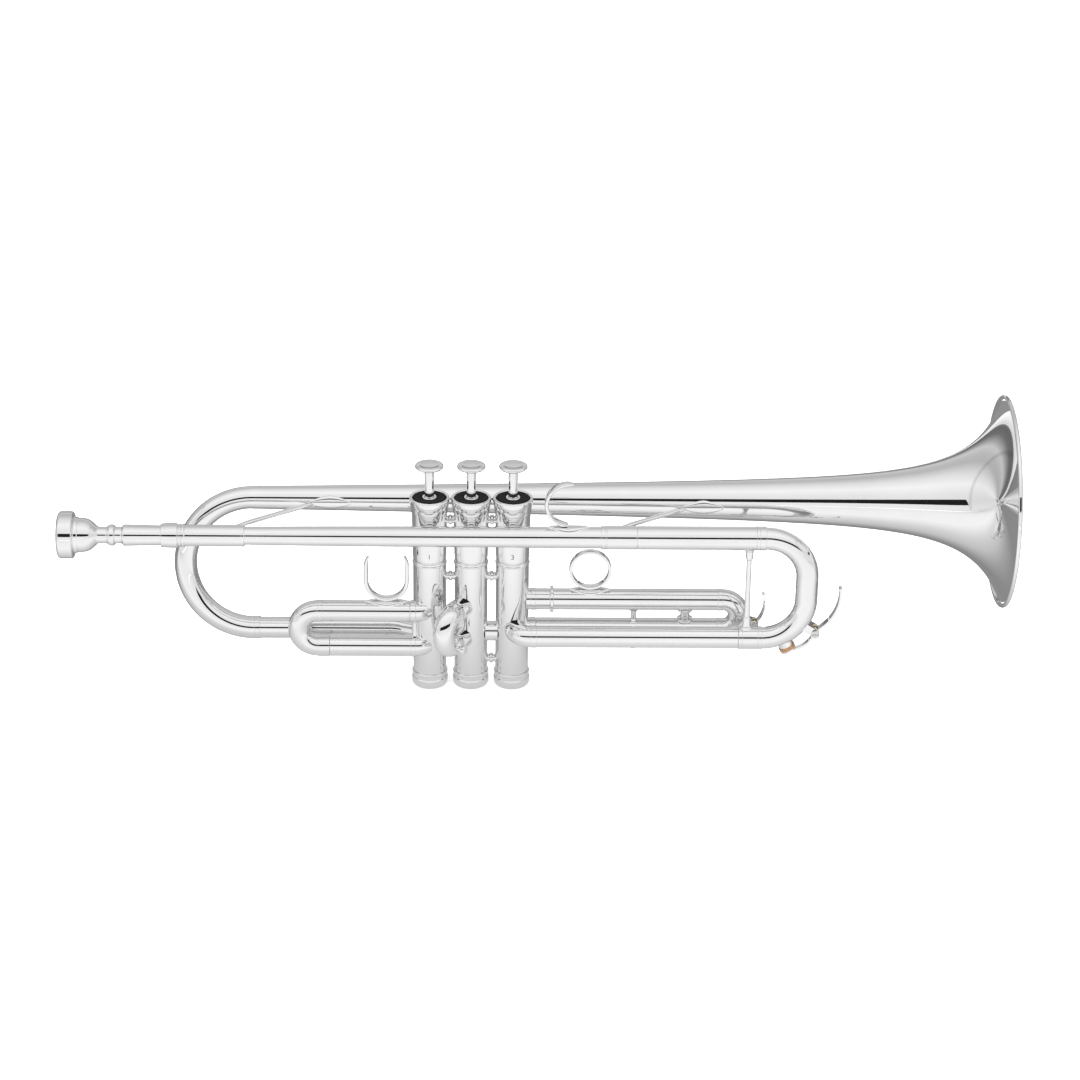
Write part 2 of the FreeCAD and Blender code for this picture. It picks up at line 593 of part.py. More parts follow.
# --- main tuning slide ----------------------------------------------------------------

def make_main_sleeve():
    """Fixed lower tube of the tuning slide, which bends into the third casing."""
    run = MAIN_SLEEVE_END_X - SLEEVE_ENTRY_X - SLEEVE_BEND_R
    steps = [("run", run), ("bend", SLEEVE_BEND_R, 90, Z_AXIS.negative()), ("run", 6.0)]
    start = V(MAIN_SLEEVE_END_X, LEAD_Y, MAIN_LOW_Z)
    tube = sweep_path(start, X_AXIS.negative(), steps, MAIN_SLEEVE_R, MAIN_SLEEVE_R - TUBE_WALL)
    ring = pipe(MAIN_SLEEVE_R + 0.2, MAIN_SLEEVE_R - TUBE_WALL, 3.2,
                V(SLEEVE_ENTRY_X + SLEEVE_BEND_R, LEAD_Y, MAIN_LOW_Z), X_AXIS)
    save(join([tube, ring]).cut(casing_core(3)), "main_slide_sleeve")


def make_main_slide():
    """Sliding bow: an upper tube over the leadpipe and a lower leg in the sleeve."""
    top = V(MAIN_BOW_X, LEAD_Y, LEAD_Z)
    low = V(MAIN_BOW_X, LEAD_Y, MAIN_LOW_Z)
    drop = LEAD_Z - MAIN_LOW_Z - 2 * MAIN_BEND_R
    bends = [("bend", MAIN_BEND_R, 90, Y_AXIS), ("run", drop), ("bend", MAIN_BEND_R, 90, Y_AXIS)]
    bow = sweep_path(top, X_AXIS, bends, MAIN_BOW_R, MAIN_BOW_R - TUBE_WALL)
    tube_start = FERRULE_END_X + RUNNING_GAP
    bore = LEAD_R + SLIDE_FIT
    upper = pipe(MAIN_TUBE_R, bore, MAIN_BOW_X - MAIN_FERRULE_LENGTH - tube_start,
                 V(tube_start, LEAD_Y, LEAD_Z), X_AXIS)
    upper_ferrule = pipe(MAIN_TUBE_R + 0.2, MAIN_BOW_R - TUBE_WALL, MAIN_FERRULE_LENGTH,
                         top - X_AXIS * MAIN_FERRULE_LENGTH, X_AXIS)
    low_start = MAIN_SLEEVE_END_X + RUNNING_GAP
    lower_ferrule = pipe(MAIN_BOW_R + 0.2, INNER_R - TUBE_WALL, MAIN_BOW_X - low_start,
                         V(low_start, LEAD_Y, MAIN_LOW_Z), X_AXIS)
    leg = pipe(INNER_R, INNER_R - TUBE_WALL, low_start - MAIN_LEG_END_X,
               V(MAIN_LEG_END_X, LEAD_Y, MAIN_LOW_Z), X_AXIS)
    save(join([bow, upper, upper_ferrule, lower_ferrule, leg]), "main_slide_tubes")
    make_slide_brace(low)


def make_slide_brace(low):
    """Turned post between the two legs of the tuning slide."""
    bottom = low.z + MAIN_BOW_R + 0.2
    top = LEAD_Z - MAIN_TUBE_R
    flat = 0.8
    post = turned([(bottom - flat, 0), (bottom - flat, 3.6), (bottom + 0.5, 3.6), (bottom + 1.0, 2.6),
                   (bottom + 7.0, 2.3), (bottom + 8.0, BRACE_ROD_R + 0.3), (top - 6.5, BRACE_ROD_R),
                   (top - 5.5, 2.3), (top + flat, 2.7), (top + flat, 0)], V(BRACE_X, LEAD_Y, 0), Z_AXIS)
    reach = 20.0
    upper = Part.makeCylinder(MAIN_TUBE_R, reach, V(BRACE_X - reach / 2, LEAD_Y, LEAD_Z), X_AXIS)
    lower = Part.makeCylinder(MAIN_BOW_R + 0.2, reach, V(BRACE_X - reach / 2, LEAD_Y, low.z), X_AXIS)
    save(post.cut(upper).cut(lower), "main_slide_brace")


# --- water keys -----------------------------------------------------------------------

def polar(centre, degrees, reach):
    """A point at an angle from straight down, turned towards +X, in the XZ plane."""
    angle = math.radians(degrees)
    return centre + V(math.sin(angle), 0, -math.cos(angle)) * reach


def strip(points, thick, width):
    """A flat strip of even thickness along an arc through three points of an XZ plane."""
    arc = Part.Arc(*points).toShape().Curve
    centre, radius = arc.Center, arc.Radius
    near, far = [[centre + (p - centre) * ((radius + shift) / radius) for p in points]
                 for shift in (-thick / 2, thick / 2)]
    edges = [Part.Arc(*near).toShape(), Part.makeLine(near[2], far[2]),
             Part.Arc(far[2], far[1], far[0]).toShape(), Part.makeLine(far[0], near[0])]
    body = Part.Face(Part.Wire(edges)).extrude(Y_AXIS * width)
    body.translate(Y_AXIS * (-width / 2))
    return body


def bulged(start, end, sag):
    """Start, middle and end of an arc that bulges towards +X and down."""
    chord = end - start
    chord.normalize()
    outwards = V(chord.z, 0, -chord.x)
    return [start, (start + end) * 0.5 + outwards * sag, end]


def water_key(prefix, centre, bend_r, tube_r, key):
    """All the pieces of a water key on the low outer quarter of a bow."""
    size = key["size"]
    skin = bend_r + tube_r
    pivot = polar(centre, key["pivot"], skin + key["lift"] * size)
    down = polar(ORIGIN, key["nipple"], 1.0)
    seat = polar(centre, key["nipple"], skin + KEY_NIPPLE_RISE * size)
    torus = Part.makeTorus(bend_r, tube_r, centre, Y_AXIS)
    nipple_start = polar(centre, key["nipple"], bend_r)
    nipple_length = tube_r + KEY_NIPPLE_RISE * size
    nipple = pipe(KEY_NIPPLE_R * size, KEY_BORE_R * size, nipple_length, nipple_start, down).cut(torus)
    save(join([key_post(pivot, centre, torus, skin, size), nipple]), prefix + "_seat")
    cork_gap = 0.05
    cork = Part.makeCylinder(KEY_CORK_R * size, KEY_CORK_THICK * size, seat + down * cork_gap, down)
    save(cork, prefix + "_cork")
    cup_base = seat + down * (cork_gap + KEY_CORK_THICK * size)
    key_lever(prefix, pivot, cup_base, down, centre, skin, key)
    key_screw(prefix, pivot, size)
    key_spring(prefix, pivot, size)


def key_post(pivot, centre, torus, skin, size):
    """Two lugs and the base that joins them to the bow."""
    inward = centre - pivot
    depth = inward.Length - skin + 6.0 * size
    inward.normalize()
    side = inward.cross(Y_AXIS) * (KEY_BARREL_R * size + 0.3)
    half = KEY_HALF_WIDTH * size
    lug = KEY_LUG * size
    lugs = []
    for y in (half, -half - lug):
        corners = [pivot + side, pivot + side + inward * depth, pivot - side + inward * depth, pivot - side]
        plate = Part.Face(Part.makePolygon(corners + corners[:1])).extrude(Y_AXIS * lug)
        plate.translate(Y_AXIS * y)
        eye = Part.makeCylinder(side.Length, lug, pivot + Y_AXIS * y, Y_AXIS)
        lugs.append(join([plate, eye]))
    low = (KEY_BARREL_R + KEY_COIL_SPACE) * size
    corners = [pivot + side + inward * low, pivot + side + inward * depth,
               pivot - side + inward * depth, pivot - side + inward * low]
    base = Part.Face(Part.makePolygon(corners + corners[:1])).extrude(Y_AXIS * (2 * half))
    base.translate(Y_AXIS * (-half))
    bore = Part.makeCylinder(KEY_PIN_R * size + PIN_FIT, 4 * half, pivot - Y_AXIS * (2 * half), Y_AXIS)
    return join(lugs + [base]).cut(bore).cut(torus)


def key_lever(prefix, pivot, cup_base, down, centre, skin, key):
    """Cork cup, curved arm, hinge barrel and thumb blade."""
    size = key["size"]
    plate = KEY_PLATE * size
    cup = Part.makeCylinder((KEY_CORK_R - 0.2) * size, KEY_CUP_THICK * size, cup_base, down)
    start = cup_base + down * (KEY_CUP_THICK * size / 2)
    middle = polar(centre, (key["nipple"] + key["pivot"]) / 2, skin + 7.2 * size)
    arm = strip([start, middle, pivot], plate, KEY_ARM_WIDTH * size)
    tip = pivot + V(key["tip"][0], 0, key["tip"][1])
    blade = strip(bulged(pivot, tip, key["sag"]), plate, KEY_BLADE_WIDTH * size)
    half = KEY_HALF_WIDTH * size - 0.15
    barrel = Part.makeCylinder(KEY_BARREL_R * size, 2 * half, pivot - Y_AXIS * half, Y_AXIS)
    curl = Part.makeCylinder(0.95 * size, KEY_BLADE_WIDTH * size,
                             tip - Y_AXIS * (KEY_BLADE_WIDTH * size / 2), Y_AXIS)
    bore = Part.makeCylinder(KEY_PIN_R * size + PIN_FIT, 4 * half, pivot - Y_AXIS * (2 * half), Y_AXIS)
    coil_r, play = coil_radius(size), KEY_WIRE_R + 0.12
    groove = pipe(coil_r + play, coil_r - play, (KEY_COIL_END - KEY_COIL_START) * size + 0.4,
                  pivot + Y_AXIS * (KEY_COIL_START * size - 0.2), Y_AXIS)
    save(join([cup, arm, blade, barrel, curl]).cut(bore).cut(groove), prefix + "_lever")


def key_screw(prefix, pivot, size):
    """Pivot screw whose slotted head faces the leadpipe side."""
    reach = (KEY_HALF_WIDTH + KEY_LUG) * size
    head_r, head = 2.4 * size, 1.0 * size
    pin = Part.makeCylinder(KEY_PIN_R * size, 2 * reach, pivot - Y_AXIS * reach, Y_AXIS)
    face = pivot - Y_AXIS * (reach + head)
    cap = Part.makeCylinder(head_r, head, face, Y_AXIS)
    slot = Part.makeBox(3 * head_r, 0.8 * size, 0.5 * size, face - V(1.5 * head_r, 0.4 * size, 0.25 * size))
    save(join([pin, cap.cut(slot)]), prefix + "_screw")


def coil_radius(size):
    """Mean radius of the spring coil round the hinge barrel."""
    return (KEY_BARREL_R + 0.2) * size + KEY_WIRE_R


def key_spring(prefix, pivot, size):
    """Torsion spring coiled round one end of the hinge barrel."""
    radius = coil_radius(size)
    width = (KEY_COIL_END - KEY_COIL_START) * size - 2 * KEY_WIRE_R
    turns = 3
    helix = Part.makeHelix(width / turns, width, radius)
    loop = Part.Wire(Part.makeCircle(KEY_WIRE_R, V(radius, 0, 0), Y_AXIS))
    coil = Part.Wire(helix.Edges).makePipeShell([loop], True, True)
    coil.rotate(ORIGIN, X_AXIS, 90)
    coil.translate(pivot + Y_AXIS * (KEY_COIL_END * size - KEY_WIRE_R))
    save(coil, prefix + "_spring")


# --- valve slides ---------------------------------------------------------------------

def bow_between(x, y, z_top, z_low, way, outer):
    """Half-circle bow between two parallel legs, with its centre at a distance along X."""
    axis = Y_AXIS if way.x > 0 else Y_AXIS.negative()
    radius = (z_top - z_low) / 2
    return sweep_path(V(x, y, z_top), way, [("bend", radius, 180, axis)], outer, outer - TUBE_WALL)


def make_first_slide():
    """Fixed tubes on the first casing and the sliding bow with its thumb saddle."""
    back = X_AXIS.negative()
    casing_x = VALVE_X[1]
    fixed = []
    for z, end, outer, bore in ((FIRST_UP_Z, FIRST_KNUCKLE_X, SLIDE_R, INNER_R - TUBE_WALL),
                                (FIRST_LOW_Z, FIRST_LOW_END_X, SLIDE_R, SLIDE_R - TUBE_WALL)):
        fixed.append(pipe(outer, bore, casing_x - end, V(casing_x, FIRST_Y, z), back))
        fixed.append(pipe(SLIDE_R + 0.2, bore, 3.2, V(FIRST_KNUCKLE_X + 3.2, FIRST_Y, z), back))
    inner_end = FIRST_BOW_X + 4.0
    fixed.append(pipe(INNER_R, INNER_R - TUBE_WALL, FIRST_KNUCKLE_X + 1.0 - inner_end,
                      V(FIRST_KNUCKLE_X + 1.0, FIRST_Y, FIRST_UP_Z), back))
    gap = FIRST_UP_Z - FIRST_LOW_Z
    tie_at = V(FIRST_TIE_X, FIRST_Y, FIRST_LOW_Z + SLIDE_R - 0.5)
    tie = Part.makeCylinder(1.7, gap - 2 * SLIDE_R + 1.0, tie_at, Z_AXIS)
    save(join(fixed + [tie]).cut(casing_core(1)), "first_slide_sleeves")
    start_up = FIRST_KNUCKLE_X - RUNNING_GAP
    start_low = FIRST_LOW_END_X - RUNNING_GAP
    ferrule = 2.8
    moving = [pipe(SLIDE_R, SLIDE_R - TUBE_WALL, start_up - FIRST_BOW_X,
                   V(start_up, FIRST_Y, FIRST_UP_Z), back),
              pipe(SLIDE_R + 0.2, SLIDE_R - TUBE_WALL, ferrule,
                   V(FIRST_BOW_X + ferrule, FIRST_Y, FIRST_UP_Z), back),
              pipe(SLIDE_R + 0.2, INNER_R - TUBE_WALL, start_low - FIRST_BOW_X,
                   V(start_low, FIRST_Y, FIRST_LOW_Z), back),
              pipe(INNER_R, INNER_R - TUBE_WALL, FIRST_LEG,
                   V(start_low + FIRST_LEG, FIRST_Y, FIRST_LOW_Z), back),
              bow_between(FIRST_BOW_X, FIRST_Y, FIRST_UP_Z, FIRST_LOW_Z, back, FIRST_BOW_R)]
    save(join(moving), "first_slide_tubes")
    make_thumb_saddle()


def make_thumb_saddle():
    """U-shaped saddle for the thumb, open at the top."""
    half = SADDLE_R
    y = FIRST_Y
    base = FIRST_UP_Z + SLIDE_R + LEAF_THICK - 0.1
    z = base + SADDLE_THICK / 2 + half
    bowl = strip([V(SADDLE_X - half, y, z), V(SADDLE_X, y, z - half), V(SADDLE_X + half, y, z)],
                 SADDLE_THICK, SADDLE_WIDTH)
    pieces = [bowl]
    lean_r, lean = 16.0, math.radians(24)
    for side in (-1, 1):
        x = SADDLE_X + side * half
        top = z + SADDLE_RISE
        pieces.append(Part.makeBox(SADDLE_THICK, SADDLE_WIDTH, SADDLE_RISE,
                                   V(x - SADDLE_THICK / 2, y - SADDLE_WIDTH / 2, z)))
        bend = [V(x - side * lean_r * (1 - math.cos(a)), y, top + lean_r * math.sin(a))
                for a in (0, lean / 2, lean)]
        pieces.append(strip(bend, SADDLE_THICK, SADDLE_WIDTH))
    foot = leaf(V(SADDLE_X, y, FIRST_UP_Z), X_AXIS, Z_AXIS, SLIDE_R, 26.0, 9.0)
    save(join(pieces + [foot]), "thumb_saddle")


def make_second_slide():
    """Short slide that points to the player's side, with a pull knob."""
    angle = math.radians(SECOND_ANGLE)
    out = V(-math.sin(angle), -math.cos(angle), 0)
    fixed = []
    moving = []
    ferrule_start = SECOND_SLEEVE_END + RUNNING_GAP
    for z in (SECOND_UP_Z, SECOND_LOW_Z):
        at = V(0, 0, z)
        fixed.append(pipe(SLIDE_R, SLIDE_R - TUBE_WALL, SECOND_SLEEVE_END, at, out))
        moving.append(pipe(SLIDE_R + 0.15, INNER_R - TUBE_WALL, SECOND_BOW_START - ferrule_start,
                           at + out * ferrule_start, out))
        leg_start = CASING_R + 1.0
        leg = ferrule_start - leg_start
        moving.append(pipe(INNER_R, INNER_R - TUBE_WALL, leg, at + out * leg_start, out))
    sleeves = Part.makeCompound([tube.cut(casing_core(2)) for tube in fixed])
    save(sleeves, "second_slide_sleeves")
    radius = (SECOND_UP_Z - SECOND_LOW_Z) / 2
    bow = sweep_path(V(0, 0, SECOND_UP_Z) + out * SECOND_BOW_START, out,
                     [("bend", radius, 180, out.cross(Z_AXIS).negative())], SLIDE_R, SLIDE_R - TUBE_WALL)
    aside = V(math.cos(angle), -math.sin(angle), 0)
    root = out * (SECOND_BOW_START + 3.2) + V(0, 0, SECOND_LOW_Z + 0.6)
    knob = turned([(SLIDE_R - 0.4, 0), (SLIDE_R - 0.4, 1.5), (SLIDE_R + 1.4, 1.3), (SLIDE_R + 1.8, 2.6),
                   (SLIDE_R + 4.0, 2.7), (SLIDE_R + 4.6, 2.1), (SLIDE_R + 4.6, 0)], root, aside)
    save(join(moving + [bow, knob]), "second_slide_tubes")


def make_third_slide():
    """Fixed inner tubes on the third casing and the sliding tubes with ring and braces."""
    casing_x = VALVE_X[3]
    fixed = []
    moving = []
    for z, end in ((THIRD_UP_Z, THIRD_DISC_X), (THIRD_LOW_Z, THIRD_KNUCKLE_X)):
        at = V(casing_x, 0, z)
        fixed.append(pipe(SLIDE_R, INNER_R - TUBE_WALL, end - casing_x, at, X_AXIS))
        fixed.append(pipe(SLIDE_R + 0.2, INNER_R - TUBE_WALL, 3.0, V(THIRD_KNUCKLE_X - 3.0, 0, z), X_AXIS))
        fixed.append(pipe(INNER_R, INNER_R - TUBE_WALL, THIRD_INNER_END_X - end + 1.0,
                          V(end - 1.0, 0, z), X_AXIS))
        start = end + RUNNING_GAP
        moving.append(pipe(SLIDE_R, SLIDE_R - TUBE_WALL, THIRD_BOW_X - start, V(start, 0, z), X_AXIS))
        moving.append(pipe(SLIDE_R + 0.2, SLIDE_R - TUBE_WALL, 2.9, V(THIRD_BOW_X - 2.9, 0, z), X_AXIS))
    moving.append(pipe(7.6, SLIDE_R - TUBE_WALL, 1.8, V(THIRD_DISC_X + RUNNING_GAP, 0, THIRD_UP_Z), X_AXIS))
    moving.append(bow_between(THIRD_BOW_X, 0, THIRD_UP_Z, THIRD_LOW_Z, X_AXIS, FIRST_BOW_R))
    solids = [solid.cut(casing_core(3)) for solid in (join(fixed[:3]), join(fixed[3:]))]
    save(Part.makeCompound(solids), "third_slide_stubs")
    save(join(moving), "third_slide_tubes")
    make_third_braces()
    make_finger_ring()


def make_third_braces():
    """Post and lyre nut between the legs, and the stop screw under the lower leg."""
    top = THIRD_UP_Z - SLIDE_R
    low = THIRD_LOW_Z + SLIDE_R
    sink = 0.7
    post = turned([(low - sink, 0), (low - sink, 1.6), (top - 1.5, 1.5), (top - 0.6, 2.6), (top + sink, 4.0),
                   (top + sink, 0)], V(THIRD_POST_X, 0, 0), Z_AXIS)
    nut = turned([(low - sink, 0), (low - sink, 4.6), (low + 1.0, 4.6), (low + 2.2, 2.6), (top - 2.0, 2.6),
                  (top - 0.8, 4.0), (top + sink, 4.2), (top + sink, 0)], V(THIRD_NUT_X, 0, 0), Z_AXIS)
    floor = THIRD_LOW_Z - SLIDE_R
    screw = turned([(floor + sink, 0), (floor + sink, 1.8), (floor - 3.6, 1.8), (floor - 3.9, 3.1),
                    (floor - 5.2, 3.1), (floor - 5.6, 2.6), (floor - 5.6, 0)], V(THIRD_POST_X, 0, 0), Z_AXIS)
    tubes = [Part.makeCylinder(SLIDE_R, THIRD_BOW_X, V(0, 0, z), X_AXIS) for z in (THIRD_UP_Z, THIRD_LOW_Z)]
    pieces = [piece.cut(tubes[0]).cut(tubes[1]) for piece in (post, nut, screw)]
    save(Part.makeCompound(pieces), "third_slide_fittings")


def make_finger_ring():
    """Ring for the third finger on its leaf-shaped saddle."""
    z = THIRD_UP_Z + SLIDE_R + LEAF_THICK - 0.2 + RING_OUT_R
    ring = pipe(RING_OUT_R, RING_IN_R, RING_WIDTH, V(RING_X, -RING_WIDTH / 2, z), Y_AXIS)
    foot = leaf(V(RING_X, 0, THIRD_UP_Z), X_AXIS, Z_AXIS, SLIDE_R, 24.5, 9.5)
    save(join([ring, foot]), "finger_ring")


# --- hook and diagonal braces ---------------------------------------------------------

def make_pinky_hook():
    """Hook for the little finger, open towards the bell."""
    base = LEAD_Z + LEAD_R + LEAF_THICK - 0.15
    z = base + HOOK_THICK / 2 + HOOK_R
    points = [V(HOOK_X + HOOK_R * math.cos(a), LEAD_Y, z + HOOK_R * math.sin(a))
              for a in (math.radians(-90), math.radians(-185), math.radians(-282))]
    hook = strip(points, HOOK_THICK, HOOK_WIDTH)
    tip = Part.makeCylinder(HOOK_THICK * 0.65, HOOK_WIDTH, points[2] - Y_AXIS * (HOOK_WIDTH / 2), Y_AXIS)
    foot = leaf(V(HOOK_X, LEAD_Y, LEAD_Z), X_AXIS, Z_AXIS, LEAD_R, 24.5, 9.0)
    save(join([hook, tip, foot]), "pinky_hook")


def bell_core():
    """The bell's outside as a solid, which brace feet are seated against."""
    outer = Part.BSplineCurve()
    outer.interpolate(bell_outline(0.0))
    first, last = outer.StartPoint, outer.EndPoint
    start, end = V(first.x, BELL_Y, BELL_Z), V(last.x, BELL_Y, BELL_Z)
    edges = [outer.toShape(), Part.makeLine(last, end), Part.makeLine(end, start),
             Part.makeLine(start, first)]
    return Part.Face(Part.Wire(edges)).revolve(start, X_AXIS, 360)


def diagonal_brace(name, x_pair, seat_r):
    """Flat bar from the leadpipe to the bell with a leaf foot on the bell."""
    near = V(x_pair[0], LEAD_Y + 2.0, LEAD_Z + BRACE_LEAD_RISE)
    reach = bell_radius(x_pair[1])
    far = V(x_pair[1], BELL_Y - reach + 1.2, BELL_Z - BRACE_BELL_DROP)
    along = far - near
    along.normalize()
    across = Z_AXIS.cross(along)
    across.normalize()
    up = along.cross(across)
    side = across * (BRACE_WIDTH / 2)
    corners = [near + side, far + side, far - side, near - side]
    bar = Part.Face(Part.makePolygon([c - up * (BRACE_DEPTH / 2) for c in corners + corners[:1]]))
    bar = bar.extrude(up * BRACE_DEPTH)
    foot_x = x_pair[1] + BRACE_LEAF * 0.35
    foot = leaf(V(foot_x, BELL_Y, BELL_Z), X_AXIS, Y_AXIS.negative(), bell_radius(foot_x) - 0.3,
                BRACE_LEAF, 9.0, LEAF_THICK + 0.3)
    pipe_core = Part.makeCylinder(seat_r, 60.0, V(x_pair[0] - 30.0, LEAD_Y, LEAD_Z), X_AXIS)
    save(join([bar, foot]).cut(pipe_core).cut(bell_core()), name)


def make_horn():
    """Build every sub-part of the trumpet."""
    make_valves()
    make_block_fittings()
    make_leadpipe()
    make_mouthpiece()
    make_bell()
    make_main_sleeve()
    make_main_slide()
    main_centre = V(MAIN_BOW_X, LEAD_Y, MAIN_LOW_Z + MAIN_BEND_R)
    water_key("main_key", main_centre, MAIN_BEND_R, MAIN_BOW_R, MAIN_KEY)
    make_first_slide()
    make_second_slide()
    make_third_slide()
    third_bend = (THIRD_UP_Z - THIRD_LOW_Z) / 2
    third_centre = V(THIRD_BOW_X, 0, THIRD_LOW_Z + third_bend)
    water_key("third_key", third_centre, third_bend, FIRST_BOW_R, THIRD_KEY)
    make_pinky_hook()
    diagonal_brace("front_brace", FRONT_BRACE_X, FERRULE_R)
    diagonal_brace("rear_brace", REAR_BRACE_X, RECEIVER_R + RECEIVER_BEAD)


make_horn()
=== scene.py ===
import json
import logging
import math
from dataclasses import dataclass
from enum import Enum

import bmesh
import bpy
from mathutils import Matrix, Quaternion, Vector


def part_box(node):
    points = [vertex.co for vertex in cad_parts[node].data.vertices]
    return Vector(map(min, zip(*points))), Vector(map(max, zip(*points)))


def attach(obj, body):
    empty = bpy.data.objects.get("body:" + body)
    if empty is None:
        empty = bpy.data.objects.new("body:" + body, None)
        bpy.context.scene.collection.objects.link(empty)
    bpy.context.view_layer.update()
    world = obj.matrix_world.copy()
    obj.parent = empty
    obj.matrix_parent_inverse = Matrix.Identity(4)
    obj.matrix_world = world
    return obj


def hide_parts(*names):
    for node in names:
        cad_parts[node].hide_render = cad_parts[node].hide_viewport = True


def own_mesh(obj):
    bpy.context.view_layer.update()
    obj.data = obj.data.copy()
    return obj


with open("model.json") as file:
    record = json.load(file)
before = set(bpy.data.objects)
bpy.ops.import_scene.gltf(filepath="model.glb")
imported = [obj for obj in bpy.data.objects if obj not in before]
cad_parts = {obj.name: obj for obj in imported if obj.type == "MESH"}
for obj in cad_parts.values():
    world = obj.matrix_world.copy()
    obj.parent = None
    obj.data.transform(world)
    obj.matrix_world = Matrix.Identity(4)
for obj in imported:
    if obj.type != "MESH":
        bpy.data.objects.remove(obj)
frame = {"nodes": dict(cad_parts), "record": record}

LOG = logging.getLogger("trumpet")
MM = 0.001
X = Vector((1.0, 0.0, 0.0))
Y = Vector((0.0, 1.0, 0.0))
Z = Vector((0.0, 0.0, 1.0))
WALL = 0.5                   # wall of every drawn tube, in millimetres
RUNNING_GAP = 0.3            # gap between a closed slide and its stop
MERGE = 1e-5                 # points closer than this become one
SLIVER = 1e-6                # lengths shorter than this count as nothing
CREASE = math.radians(38)    # faces that meet at more than this keep a crisp edge
STRAIGHT = 0.15              # corners within this many radians of straight stay plain
CORNER_SHARE = 0.4           # longest rounding, as a share of the shorter side
CORNER_STEPS = (0.0, 0.3, 0.5, 0.7, 1.0)
MIX_SHARE, MIX_FIRST, MIX_SECOND, MIX_RESULT = 0, 6, 7, 2    # colour sockets of a Mix node
Outline = list[tuple[float, float]]
Colour = tuple[float, float, float]
Point = tuple[float, float, float]
Tones = tuple[tuple[float, float], ...]


class Slot(Enum):
    """Material slots of the record."""

    SILVER = "silver_plate"
    NICKEL = "piston_nickel"
    FELT = "black_felt"
    CORK = "cork"
    SPRING = "spring_steel"
    SCREW = "screw_steel"
    NYLON = "guide_nylon"


class Carrier(Enum):
    """Bodies that the new pieces ride on."""

    HORN = "horn"
    MAIN_SLIDE = "main_slide"
    FIRST_SLIDE = "first_slide"
    SECOND_SLIDE = "second_slide"
    THIRD_SLIDE = "third_slide"
    MOUTHPIECE = "mouthpiece"


# --- shader groups ----------------------------------------------------------------------


